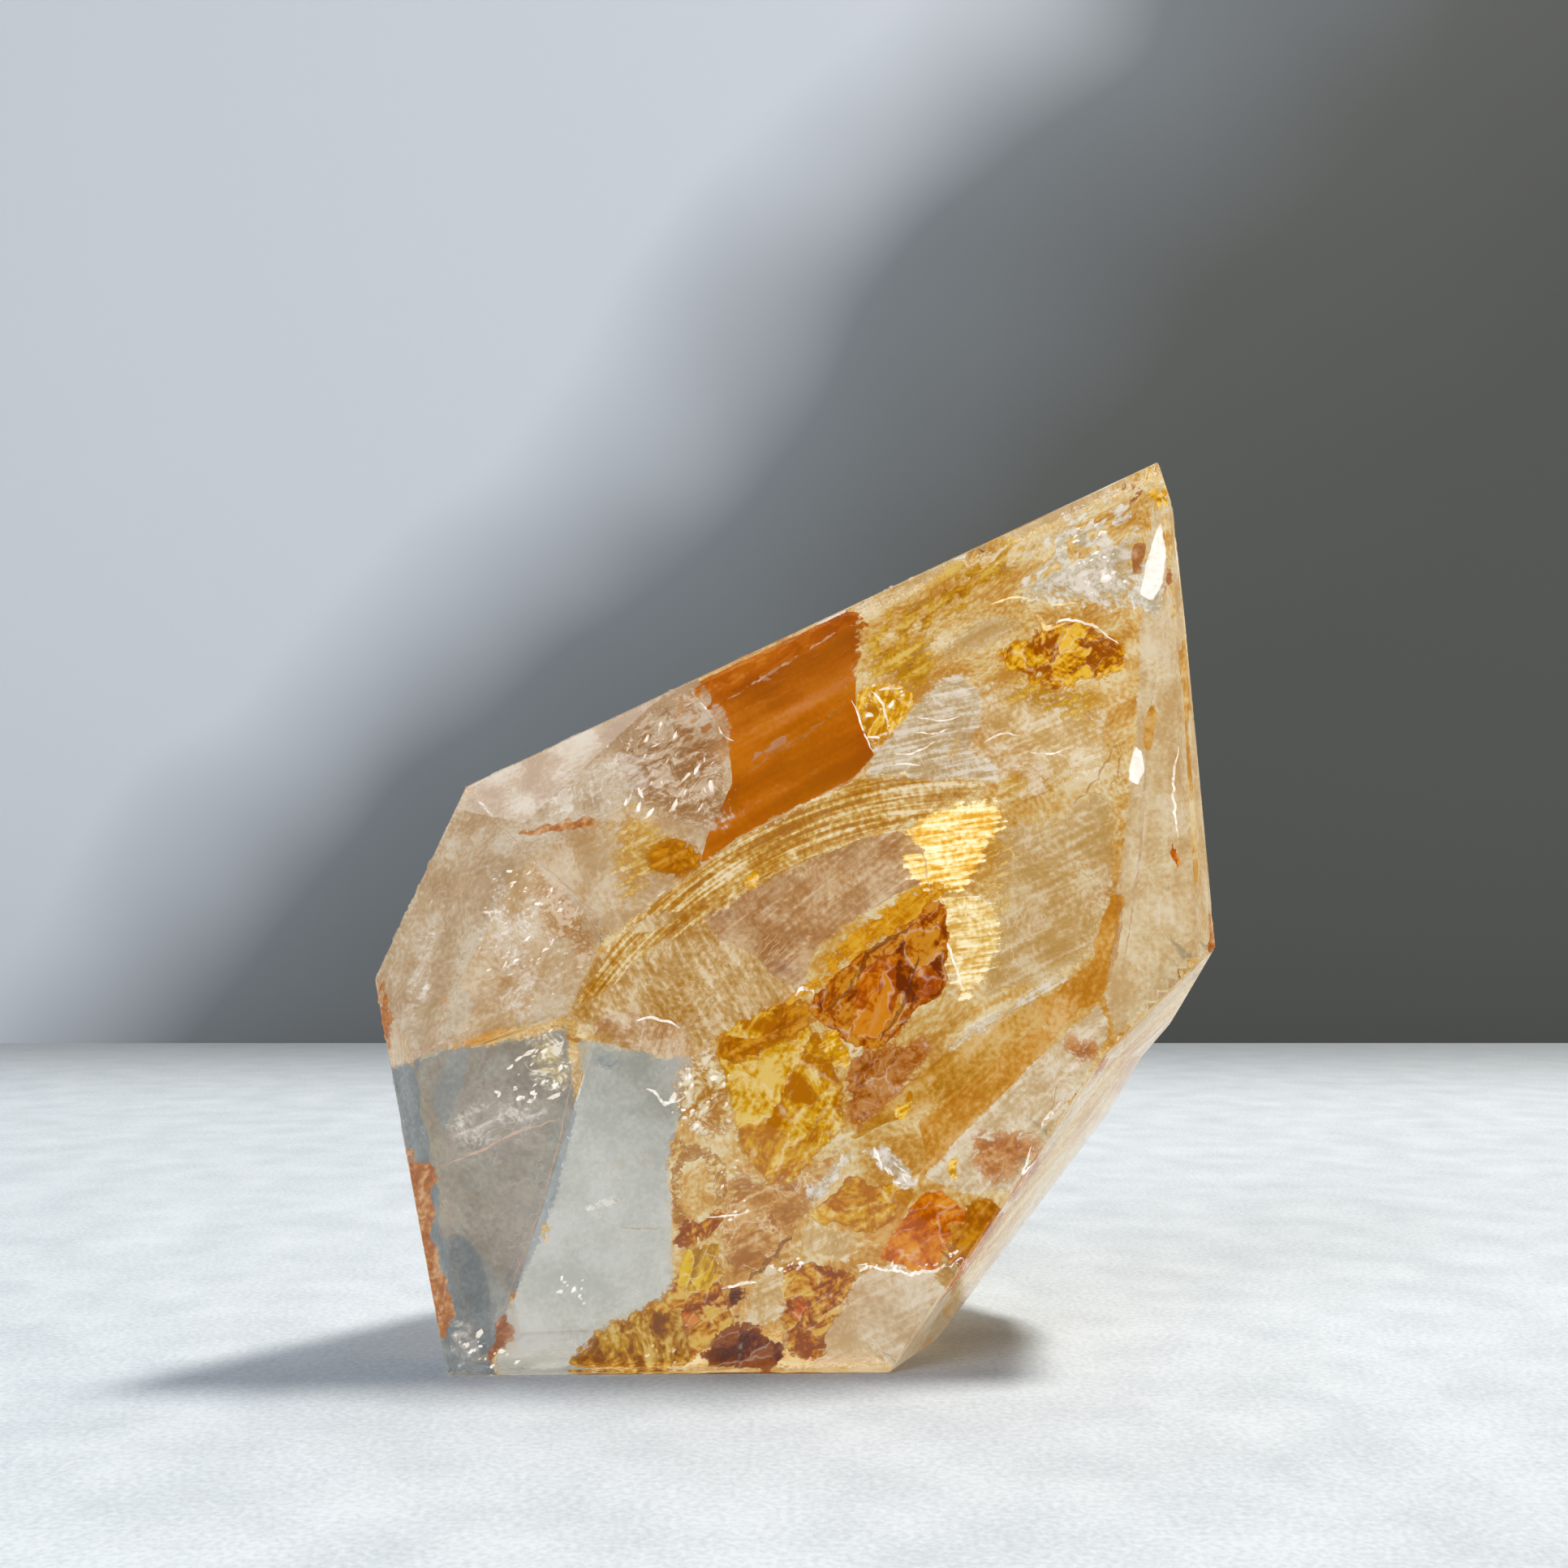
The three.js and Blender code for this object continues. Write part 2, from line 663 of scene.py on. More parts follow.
@dataclass
class Window:
    """The plane of the big front flat, and how the eye sees into the stone past each of its places."""

    stone: bpy.types.Object
    eye: Vector
    normal: Vector = field(init=False)
    point: Vector = field(init=False)
    skin: BVHTree = field(init=False)

    def __post_init__(self) -> None:
        """Find the largest face that looks along -Y, and wrap the stone for ray casts."""
        front = [f for f in self.stone.data.polygons if f.normal.y < -0.95]
        widest = max(front, key=lambda face: face.area)
        self.normal = widest.normal.copy()
        self.point = self.stone.data.vertices[widest.vertices[0]].co.copy()
        corners = [vertex.co.copy() for vertex in self.stone.data.vertices]
        faces = [tuple(face.vertices) for face in self.stone.data.polygons]
        self.skin = BVHTree.FromPolygons(corners, faces)

    def on_flat(self, x: float, z: float) -> Vector:
        """The point of the window flat at x and z, given in millimetres.

        Args:
            x: millimetres to the right.
            z: millimetres up.

        Returns:
            The point, in metres.
        """
        spot = Vector((x * MM, 0, z * MM))
        spot.y = self.point.y - (
            self.normal.x * (spot.x - self.point.x) + self.normal.z * (spot.z - self.point.z)
        ) / self.normal.y
        return spot

    def sight(self, x: float, z: float) -> tuple[Vector, Vector, Vector, float] | None:
        """Follow the line of sight into the quartz, through whichever facet it meets.

        Args:
            x: place on the window's plane, in millimetres to the right.
            z: place on the window's plane, in millimetres up.

        Returns:
            The entry point, the facet's normal, the refracted direction and how far the quartz
            goes along it, or None where the line passes the stone by.
        """
        ray = (self.on_flat(x, z) - self.eye).normalized()
        entry, normal = self.skin.ray_cast(self.eye, ray)[:2]
        if entry is None:
            return None
        ratio = 1 / QUARTZ_IOR
        cosine = -ray.dot(normal)
        bend = ratio * cosine - math.sqrt(1 - ratio * ratio * (1 - cosine * cosine))
        bent = ray * ratio + normal * bend
        spot = self.skin.ray_cast(entry + bent * (SKIN_STEP * MM), bent)[0]
        return entry, normal, bent, (spot - entry).length if spot else 0.0

    def place(self, x: float, z: float, depth: float) -> Vector | None:
        """Set a point at a depth behind its facet where it is seen at x and z.

        Args:
            x: place on the window's plane, in millimetres to the right.
            z: place on the window's plane, in millimetres up.
            depth: how far behind the facet, in millimetres.

        Returns:
            The point inside the quartz, kept clear of its skin, or None beside the stone.
        """
        seen = self.sight(x, z)
        if seen is None:
            return None
        entry, normal, bent, reach = seen
        steepness = max(-bent.dot(normal), LEAST_STEEPNESS)
        along = depth * MM / steepness
        margin = SKIN_MARGIN * MM / steepness
        along = max(min(along, reach - margin), min(margin, reach / 2))
        return entry + bent * along

    def nearest(self, start: np.ndarray, beside: np.ndarray, depth: float) -> Vector:
        """Set a point at the stone's outline, between a place on it and one beside it.

        Args:
            start: a place on the stone, in window millimetres.
            beside: a place beside it.
            depth: how far behind the facet, in millimetres.

        Returns:
            The point inside the quartz.
        """
        inner, outer = start, beside
        for _ in range(OUTLINE_STEPS):
            middle = (inner + outer) / 2
            if self.sight(*middle) is None:
                outer = middle
            else:
                inner = middle
        return self.place(inner[0], inner[1], depth)


# ---- sheets -----------------------------------------------------------------------------


def inside_outline(spots: np.ndarray, rim: np.ndarray) -> np.ndarray:
    """How far each place is inside a closed outline.

    Args:
        spots: places in window millimetres.
        rim: the outline's corners.

    Returns:
        The distances, negative outside.
    """
    best = np.full(len(spots), 1e9)
    crossed = np.zeros(len(spots), dtype=bool)
    for start, end in zip(rim, np.roll(rim, -1, axis=0)):
        edge = end - start
        share = np.clip((spots - start) @ edge / max(edge @ edge, 1e-12), 0, 1)
        foot = start + share[:, None] * edge
        best = np.minimum(best, np.linalg.norm(spots - foot, axis=1))
        if start[1] != end[1]:
            over = (start[1] > spots[:, 1]) != (end[1] > spots[:, 1])
            place = start[0] + (spots[:, 1] - start[1]) / (end[1] - start[1]) * edge[0]
            crossed ^= over & (spots[:, 0] < place)
    return np.where(crossed, best, -best)


@dataclass(frozen=True)
class Sheet:
    """One thin internal sheet, drawn where it is seen on the window.

    outline is its rim in window millimetres. depth is how far it lies behind the window at its
    middle, and slope is how much deeper it gets per millimetre to the right and up. billow is
    the height of its slow swells and ripple that of its shell-like ripples, wavelength apart.
    Bands and ripples run along the direction heading, in degrees, or round the point centre.
    """

    name: str
    outline: tuple[Point2, ...]
    stain: Stain
    depth: float
    slope: Point2 = (0.0, 0.0)
    billow: float = 0.6
    swell: float = 9.0
    ripple: float = 0.0
    wavelength: float = 1.6
    heading: float = 25.0
    centre: Point2 | None = None
    ragged: float = 0.5
    fade: float = 3.0
    curved: bool = True
    cell: float = 0.6

    def rim_points(self) -> np.ndarray:
        """The outline as an array, with its corners rounded off where it is curved."""
        points = np.array(self.outline, dtype=float)
        for _ in range(2 if self.curved else 0):
            after = np.roll(points, -1, axis=0)
            cut = np.stack((points * 0.75 + after * 0.25, points * 0.25 + after * 0.75), axis=1)
            points = cut.reshape(-1, 2)
        return points

    def build(self, window: Window) -> bpy.types.Object:
        """Make the sheet inside the stone.

        Args:
            window: the flat that it is seen through.

        Returns:
            The finished mesh object.
        """
        rim = self.rim_points()
        margin = self.fade * FRINGE_SHARE + self.cell
        low, high = rim.min(axis=0) - margin, rim.max(axis=0) + margin
        counts = np.maximum(((high - low) / self.cell).astype(int), 2)
        piece = new_grid(self.name, int(counts[0]), int(counts[1]))
        flat = self._coordinates(piece)[:, :2]
        spots = low + (flat + 1) / 2 * (high - low)
        inside = inside_outline(self._warped(spots), rim)
        self._store(piece, spots)
        self._delete(piece, inside < -margin)
        spots = self._coordinates(piece)[:, :2]
        inside = inside_outline(self._warped(spots), rim)
        self._write_rim(piece, inside / self.fade)
        self._write_flow(piece, spots)
        self._set_in(piece, window, spots)
        for face in piece.data.polygons:
            face.use_smooth = True
        piece.data.materials.append(self.stain.material())
        adopt(piece)
        return piece

    def _set_in(self, piece: bpy.types.Object, window: Window, spots: np.ndarray) -> None:
        """Move the sheet into the stone, and trim it where it would pass the stone by.

        Args:
            piece: the sheet's object.
            window: what the sheet is seen through.
            spots: places in window millimetres.
        """
        depths = self._depths(spots)
        placed = [window.place(x, z, d) for (x, z), d in zip(spots, depths)]
        missed = np.array([place is None for place in placed])
        within = spots[~missed]
        for number in np.flatnonzero(missed):
            gaps = np.linalg.norm(within - spots[number], axis=1)
            closest = int(np.argmin(gaps))
            missed[number] = gaps[closest] > self.cell * DRAW_IN_CELLS
            placed[number] = Vector()
            if not missed[number]:
                placed[number] = window.nearest(within[closest], spots[number], depths[number])
        self._store(piece, np.array(placed))
        if missed.any():
            self._delete(piece, missed)

    @staticmethod
    def _coordinates(piece: bpy.types.Object) -> np.ndarray:
        """The mesh's vertices as an array."""
        flat = np.empty(len(piece.data.vertices) * 3)
        piece.data.vertices.foreach_get("co", flat)
        return flat.reshape(-1, 3)

    @staticmethod
    def _store(piece: bpy.types.Object, spots: np.ndarray) -> None:
        """Move the mesh's vertices to the given places.

        Args:
            piece: the sheet's object.
            spots: two or three coordinates for each vertex.
        """
        full = np.zeros((len(spots), 3))
        full[:, : spots.shape[1]] = spots
        piece.data.vertices.foreach_set("co", full.ravel())
        piece.data.update()

    @staticmethod
    def _delete(piece: bpy.types.Object, outside: np.ndarray) -> None:
        """Delete the marked vertices in edit mode.

        Args:
            piece: the sheet's object.
            outside: which vertices go.
        """
        make_active(piece)
        bpy.ops.object.mode_set(mode="EDIT")
        bpy.ops.mesh.select_mode(type="VERT")
        bpy.ops.mesh.select_all(action="DESELECT")
        bpy.ops.object.mode_set(mode="OBJECT")
        piece.data.vertices.foreach_set("select", outside)
        bpy.ops.object.mode_set(mode="EDIT")
        bpy.ops.mesh.delete(type="VERT")
        bpy.ops.object.mode_set(mode="OBJECT")

    def _warped(self, spots: np.ndarray) -> np.ndarray:
        """Shift places by noise, so that a rim drawn at them comes out ragged.

        Args:
            spots: places in window millimetres.

        Returns:
            The shifted places.
        """
        shift = [
            noise.noise_vector(Vector((x * 0.9, z * 0.9, self.depth)))
            + 0.5 * noise.noise_vector(Vector((x * 2.3, z * 2.3, self.depth + 9)))
            for x, z in spots
        ]
        return spots + np.array([(s.x, s.y) for s in shift]) * self.ragged

    def _across(self, spots: np.ndarray) -> tuple[np.ndarray, np.ndarray]:
        """Distances along and across the sheet's bands, in millimetres.

        Args:
            spots: places in window millimetres.

        Returns:
            The distances along, and those across.
        """
        if self.centre is not None:
            arm = spots - np.array(self.centre)
            radius = np.linalg.norm(arm, axis=1)
            return np.unwrap(np.arctan2(arm[:, 1], arm[:, 0])) * radius.mean(), radius
        turn = math.radians(self.heading)
        along = spots @ np.array((math.cos(turn), math.sin(turn)))
        across = spots @ np.array((-math.sin(turn), math.cos(turn)))
        return along, across

    def _depths(self, spots: np.ndarray) -> np.ndarray:
        """Depth behind the window at each place, in millimetres.

        Args:
            spots: places in window millimetres.

        Returns:
            The depths.
        """
        middle = (spots.min(axis=0) + spots.max(axis=0)) / 2
        depths = self.depth + (spots - middle) @ np.array(self.slope)
        swells = [
            noise.noise(Vector((x / self.swell, z / self.swell, self.depth * 1.7)))
            for x, z in spots
        ]
        _, across = self._across(spots)
        wobble = np.array(
            [noise.noise(Vector((x / 3, z / 3, 5 + self.depth))) for x, z in spots]
        )
        waves = np.sin((across / self.wavelength + wobble * 0.8) * 2 * math.pi)
        return depths + np.array(swells) * self.billow * 2 + waves * self.ripple

    @staticmethod
    def _write_rim(piece: bpy.types.Object, share: np.ndarray) -> None:
        """Store how far inside the rim each point is, as a share of the fade."""
        layer = piece.data.attributes.new(RIM, "FLOAT", "POINT")
        layer.data.foreach_set("value", share)

    def _write_flow(self, piece: bpy.types.Object, spots: np.ndarray) -> None:
        """Store the places along and across the bands as a UV map, in millimetres.

        Args:
            piece: the sheet's object.
            spots: places in window millimetres.
        """
        along, across = self._across(spots)
        while piece.data.uv_layers:
            piece.data.uv_layers.remove(piece.data.uv_layers[0])
        layer = piece.data.uv_layers.new(name=FLOW_MAP)
        corners = np.empty(len(piece.data.loops), dtype=int)
        piece.data.loops.foreach_get("vertex_index", corners)
        pairs = np.stack((along, across), axis=1)[corners]
        layer.data.foreach_set("uv", pairs.ravel())


@dataclass(frozen=True)
class Crack:
    """A thin line where an internal crack is seen edge-on, or a painted highlight along a facet edge
    seen through the quartz.

    path is its course in window millimetres and depth how far behind the window it lies. width
    is its greatest width, and wander how far it strays from its path.
    """

    name: str
    path: Outline
    finish: Gleam
    depth: float
    width: float = 0.25
    wander: float = 0.12
    pitch: float = 0.35

    def build(self, window: Window) -> bpy.types.Object:
        """Make the line inside the stone.

        Args:
            window: the flat that it is seen through.

        Returns:
            The finished mesh object.
        """
        corners = np.array(self.path, dtype=float)
        spans = np.linalg.norm(np.diff(corners, axis=0), axis=1)
        marks = np.concatenate(([0.0], np.cumsum(spans)))
        length = marks[-1]
        piece = new_grid(self.name, max(int(length / self.pitch), FEWEST_STEPS), 1)
        placed = []
        for vertex in piece.data.vertices:
            share = (vertex.co.x + 1) / 2
            here = self._along(corners, marks, share * length)
            ahead = self._along(corners, marks, share * length + LOOK_AROUND)
            behind = self._along(corners, marks, share * length - LOOK_AROUND)
            run = (ahead - behind) / max(np.linalg.norm(ahead - behind), 1e-6)
            stray = noise.noise_vector(Vector((here[0] * 1.4, here[1] * 1.4, self.depth)))
            fine = noise.noise(Vector((here[0] * 3.1, here[1] * 3.1, self.depth + 7)))
            taper = math.sin(math.pi * min(max(share, 0.02), 0.98)) ** 0.6 * (0.75 + 0.6 * fine)
            off = vertex.co.y * self.width / 2 * max(taper, 0.1)
            spot = here + np.array((-run[1], run[0])) * off
            spot = spot + np.array((stray.x, stray.y)) * self.wander
            place = window.place(spot[0], spot[1], self.depth)
            placed.append(place or window.nearest(corners.mean(axis=0), spot, self.depth))
        for vertex, place in zip(piece.data.vertices, placed):
            vertex.co = place
        piece.data.materials.append(self.finish.material())
        adopt(piece)
        return piece

    @staticmethod
    def _along(corners: np.ndarray, marks: np.ndarray, distance: float) -> np.ndarray:
        """The place at a distance along the path, with the corners eased.

        Args:
            corners: the path's corners.
            marks: how far along the path each is.
            distance: where on it, in millimetres.

        Returns:
            The place, in window millimetres.
        """
        reach = (-EASE, 0.0, EASE)
        spots = [
            [np.interp(distance + r, marks, corners[:, axis]) for axis in (0, 1)] for r in reach
        ]
        return np.mean(np.array(spots), axis=0)


@dataclass(frozen=True)
class Glints:
    """A scatter of tiny bright shards, joined in one mesh; their brightness is a painted glint.

    outline is where they lie, in window millimetres, and depth how far behind the window. size
    is the range of their radii. They are drawn out by stretch along the direction heading.
    """

    name: str
    outline: Outline
    finish: Gleam
    depth: float
    count: int
    size: Point2
    heading: float = 30.0
    stretch: float = 1.8
    seed: int = 1

    def build(self, window: Window) -> bpy.types.Object:
        """Make the shards inside the stone.

        Args:
            window: the flat that they are seen through.

        Returns:
            The finished mesh object.
        """
        chance = Random(self.seed)
        rim = np.array(self.outline, dtype=float)
        low, high = rim.min(axis=0), rim.max(axis=0)
        shards = []
        while len(shards) < self.count:
            spot = np.array((chance.uniform(low[0], high[0]), chance.uniform(low[1], high[1])))
            if inside_outline(spot[None, :], rim)[0] > 0:
                shards.append(self._shard(window, chance, spot))
        deselect_all()
        for shard in shards:
            shard.select_set(True)
        bpy.context.view_layer.objects.active = shards[0]
        bpy.ops.object.join()
        piece = bpy.context.object
        rename(piece, self.name)
        piece.data.materials.clear()
        piece.data.materials.append(self.finish.material())
        adopt(piece)
        return piece

    def _shard(self, window: Window, chance: Random, spot: np.ndarray) -> bpy.types.Object:
        """Make one small uneven shard.

        Args:
            window: what it is seen through.
            chance: source of its shape.
            spot: its middle in window millimetres.

        Returns:
            The shard's object.
        """
        deselect_all()
        bpy.ops.mesh.primitive_circle_add(
            vertices=chance.choice((4, 5, 6, 7)), radius=1, fill_type="NGON"
        )
        shard = bpy.context.object
        low, high = self.size
        radius = low + (high - low) * chance.random() ** 2.5
        turn = math.radians(self.heading + chance.gauss(0, 18))
        deep = self.depth + chance.uniform(-0.6, 0.6)
        for vertex in shard.data.vertices:
            reach = radius * chance.uniform(0.5, 1.1)
            x, z = vertex.co.x * reach * self.stretch, vertex.co.y * reach
            across = spot[0] + x * math.cos(turn) - z * math.sin(turn)
            up = spot[1] + x * math.sin(turn) + z * math.cos(turn)
            vertex.co = window.place(across, up, deep) or window.place(*spot, deep)
        return shard


Pieces = list[Sheet | Crack | Glints]


# ---- finishes of what lies inside -------------------------------------------------------

HEART_HAZE = Stain(
    "heart_haze", ((188, 130, 46), (208, 164, 88), (220, 192, 134), (232, 216, 178)),
    cover=1.3, soft=0.4, solid=1.0, cloud=6.0, swirl=5.0, streak=(10, 1.4), streaky=0.35,
    painted_sheen=0.15, painted_glow=0.62, clear=0.1,
)
SHOULDER = Stain(
    "shoulder_haze", ((172, 142, 106), (192, 168, 136), (214, 204, 186)),
    cover=1.3, soft=0.5, solid=0.8, cloud=5.0, swirl=4.0, streaky=0.1, clear=0.2, painted_sheen=0.05,
    threads=0.1, thread_size=4.0,
)
RIGHT_HAZE = Stain(
    "right_haze", ((196, 164, 116), (212, 192, 152), (226, 216, 192)),
    cover=1.3, soft=0.4, solid=0.88, cloud=4.0, streak=(10, 1.4), streaky=0.25, threads=0.12,
    thread_size=6.0, painted_sheen=0.1,
)
# Painted shade: grey sheets that stand in for the floor and its shade seen through the clear quartz of
# the flank and the window, not for a stain.
PAINTED_FLANK_SHADE = Stain(
    "painted_flank_shade", ((118, 128, 136), (140, 151, 157), (164, 172, 176)),
    cover=1.3, soft=0.5, solid=0.8, cloud=5.0, streaky=0.1, painted_glow=0.42, clear=0.2, threads=0.14,
    painted_sheen=0.0,
)
PAINTED_FLOOR_VIEW = replace(
    PAINTED_FLANK_SHADE, name="painted_floor_view", tones=((176, 178, 168), (192, 194, 184), (206, 207, 202)),
    solid=0.85, threads=0.12, painted_glow=0.5,
)
MILK = Stain(
    "milk_veil", ((204, 184, 160), (228, 216, 202), (250, 247, 242)),
    cover=0.62, soft=0.9, solid=0.5, cloud=2.6, swirl=4.0, streak=(4, 0.5), streaky=0.3,
    tatter=3.0, threads=0.4, thread_size=2.2,
)
# Painted reflection: a bright milky cloud with dense pale threads where the upper flank catches light.
GLEAM_CLOUD = replace(
    MILK, name="gleam_cloud", tones=((196, 164, 100), (232, 216, 172), (255, 252, 240)),
    cover=0.9, cloud=1.5, solid=0.8, threads=0.8, thread_size=1.3, painted_glow=0.65,
)
PINK_MIST = replace(
    MILK, name="pink_mist", tones=((142, 92, 44), (172, 132, 90), (214, 192, 168)),
    cover=0.95, solid=0.85, cloud=2.2, threads=0.5, thread_size=2.0, contrast=1.3, soft=0.6,
)
PANE = Stain(
    "orange_pane", ((152, 74, 0), (172, 88, 0), (190, 106, 6)),
    cover=1.5, soft=0.1, solid=1.0, cloud=7.0, streak=(30, 2.2), streaky=0.5, clear=0.3,
    gritty=0.12, painted_sheen=0.03, painted_glow=0.6, tatter=0.4,
)
PANE_STRIP = replace(PANE, name="orange_strip", tones=((166, 84, 0), (184, 102, 6), (204, 132, 40)))
TONGUE = replace(
    PANE, name="pink_tongue", tones=((160, 104, 50), (178, 132, 84), (198, 158, 118)), cloud=2.0,
    tatter=1.5, soft=0.5,
)
SMUDGE = replace(PANE, name="mauve_smudge", tones=((170, 116, 70), (184, 142, 110)), cover=1.0)
GOLD = Stain(
    "gold_veil", ((166, 98, 4), (190, 134, 18), (208, 164, 60), (228, 206, 150)),
    cover=0.85, soft=0.7, solid=0.85, cloud=2.4, swirl=3.0, streak=(5, 0.5), streaky=0.45,
    tatter=3.2, painted_sheen=0.15, threads=0.25,
)
GOLD_STREAKS = replace(
    GOLD, name="gold_streaks", tones=((150, 86, 0), (180, 124, 0), (202, 150, 16), (224, 190, 88)),
    streak=(7, 0.9), streaky=0.6, cover=1.1, solid=0.95, swirl=3.0, painted_sheen=0.06, threads=0.1,
)
FLAKE = Stain(
    "golden_flake", ((146, 72, 0), (192, 124, 0), (212, 152, 4), (232, 186, 60)),
    edge=(170, 98, 4), cover=1.2, soft=0.3, solid=1.0, cloud=1.8, swirl=2.5, streak=(4, 0.5),
    streaky=0.35, contrast=1.3, threads=0.1, thread_size=2.0, painted_glow=0.65, shatter=1.6, painted_sheen=0.06,
)
BRIGHT = Stain(
    "bright_gold", ((176, 112, 0), (204, 146, 0), (240, 200, 76)), cover=1.1, soft=0.3,
    solid=1.0, cloud=1.4, streak=(3, 0.4), streaky=0.5, threads=0.5, thread_size=1.5, painted_glow=0.7,
    shatter=1.2,
)
BRIGHT_YELLOW = replace(
    BRIGHT, name="bright_yellow", tones=((156, 104, 0), (184, 138, 0), (212, 176, 24)),
    threads=0.1, painted_sheen=0.05,
)
# Painted reflection: bright rippled sheets where a rippled crack in the leaf mirrors light; the crack
# is real, its brightness is painted.
RIPPLE = Stain(
    "rippled_light", ((218, 156, 40), (240, 206, 112), (255, 246, 204)),
    cover=1.0, soft=0.5, solid=1.0, cloud=2.0, streak=(4, 0.35), streaky=0.6, painted_glow=0.85,
    contrast=1.1, tatter=2.4,
)
RIPPLE_PALE = replace(
    RIPPLE, name="rippled_pale", tones=((204, 158, 68), (230, 204, 136), (252, 246, 214)), painted_glow=0.75
)
FLOW = Stain(
    "golden_flow", ((158, 92, 0), (186, 128, 24), (212, 176, 100), (248, 234, 200)),
    cover=1.1, soft=0.5, solid=0.9, cloud=4.0, streak=(12, 0.4), streaky=0.6, contrast=0.9,
    tatter=2.4,
)
LEAF = Stain(
    "peach_leaf", ((170, 118, 36), (190, 150, 88), (206, 174, 124), (226, 208, 172)),
    cover=1.3, soft=0.4, solid=0.9, cloud=3.6, streak=(6, 0.5), streaky=0.3, threads=0.2,
    painted_sheen=0.2, swirl=3.0,
)
BLADE_FOOT = replace(
    LEAF, name="pink_foot", tones=((172, 122, 74), (192, 154, 114), (220, 200, 172)), solid=0.8,
    cover=1.0, soft=0.8,
)
MAUVE = Stain(
    "mauve_sheet", ((160, 108, 60), (186, 144, 102), (210, 182, 146)),
    cover=1.3, soft=0.25, solid=0.88, cloud=3.5, streak=(6, 0.5), streaky=0.35, painted_sheen=0.2,
    swirl=2.5,
)
PLUM = replace(
    MAUVE, name="plum", tones=((132, 88, 64), (158, 114, 86)), cover=0.9, soft=1.0, solid=0.75
)
CREAM = Stain(
    "cream_veil", ((188, 148, 80), (214, 184, 132), (236, 226, 202)),
    cover=1.0, soft=0.6, solid=0.85, cloud=2.6, swirl=3.0, streaky=0.35, threads=0.35,
    tatter=2.4,
)
LOWER_CREAM = replace(
    CREAM, name="lower_cream", tones=((196, 170, 128), (218, 204, 176), (238, 232, 218)), cover=1.2,
    soft=0.4,
)
FOOT_CREAM = replace(
    LOWER_CREAM, name="foot_cream", tones=((194, 164, 120), (214, 192, 158), (232, 220, 196)),
    threads=0.15, cloud=3.5,
)
GREY_FIELD = replace(
    CREAM, name="grey_field", tones=((180, 144, 80), (198, 166, 114), (220, 206, 174)),
    threads=0.15, cloud=4.0, painted_sheen=0.1,
)
RIPPLE_GREY = replace(
    CREAM, name="ripple_grey", tones=((180, 154, 108), (202, 186, 156), (232, 228, 218)),
    streak=(6, 0.4), streaky=0.6, threads=0.25, cover=1.2,
)
TAN = replace(CREAM, name="tan_streak", tones=((184, 162, 128), (196, 182, 158)), cover=0.6, solid=0.5)
TIP = Stain(
    "tip_glass", ((180, 172, 146), (208, 204, 190), (244, 244, 242)),
    cover=0.95, soft=0.6, solid=0.85, cloud=1.8, streaky=0.3, threads=0.4, tatter=2.6,
    thread_size=1.8, shatter=0.0,
)
# Painted reflection: a near-white, strongly emitting sheet for the bright triangle at the tip and the
# white patch on the right edge.
PAINTED_GLARE = replace(
    TIP, name="painted_white_glare", tones=((224, 220, 210), (246, 244, 240)), cover=1.4, solid=1.0,
    painted_glow=0.9, tatter=0.3,
)
SLATE = replace(TIP, name="slate_bit", tones=((128, 138, 142), (168, 172, 168)), threads=0.3)
TIP_BROWN = Stain(
    "tip_brown", ((150, 82, 30), (176, 116, 64), (200, 154, 112)), cover=1.05, soft=0.5,
    solid=0.92, cloud=1.3, streaky=0.3,
)
RUST = replace(
    TIP_BROWN, name="rust_film", tones=((160, 82, 18), (186, 116, 50), (210, 158, 104)), cloud=1.8,
    cover=1.3,
)
RUST_DEEP = replace(RUST, name="rust_deep", tones=((140, 72, 20), (166, 98, 50), (190, 140, 100)))
RUST_SPECK = replace(RUST, name="rust_speck", cover=0.35, soft=0.4, solid=0.7, cloud=1.4)
FOLD = replace(
    RUST, name="fold_stain", tones=((158, 102, 36), (188, 144, 92), (222, 198, 170)), cover=0.75,
    cloud=1.8, threads=0.5, contrast=1.3, soft=0.7, tatter=2.8,
)
GOLD_MASS = Stain(
    "gold_mass", ((178, 104, 0), (200, 140, 4), (216, 164, 28), (232, 200, 110)),
    edge=(168, 104, 6), cover=1.35, soft=0.35, solid=1.0, cloud=2.2, swirl=3.0, streak=(4, 0.7),
    streaky=0.3, threads=0.08, contrast=1.2, shatter=2.4, painted_sheen=0.06,
)
GOLD_DEEP = replace(
    GOLD_MASS, name="gold_deep", tones=((156, 84, 0), (186, 114, 0), (210, 144, 16)), streaky=0.5,
    threads=0.05, painted_sheen=0.06, shatter=0.0,
)
DOME = replace(
    GOLD_MASS, name="gold_dome", tones=((122, 64, 0), (166, 106, 0), (190, 140, 18), (212, 180, 96)),
    streak=(1.2, 6.0), streaky=0.45, contrast=1.4, shatter=0.0,
)
MOTTLE = replace(
    GOLD_MASS, name="mottled_gold", tones=((178, 122, 34), (208, 180, 122), (238, 232, 208)),
    cloud=1.6, cover=0.9, soft=0.6, threads=0.4, tatter=2.6, shatter=1.4,
)
FRINGE = Stain(
    "orange_fringe", ((178, 98, 0), (206, 138, 4), (226, 172, 48)),
    cover=0.85, soft=0.4, solid=1.0, cloud=1.4, swirl=2.5, streak=(3, 0.4), streaky=0.45,
    painted_glow=0.6, tatter=3.0, painted_sheen=0.06,
)
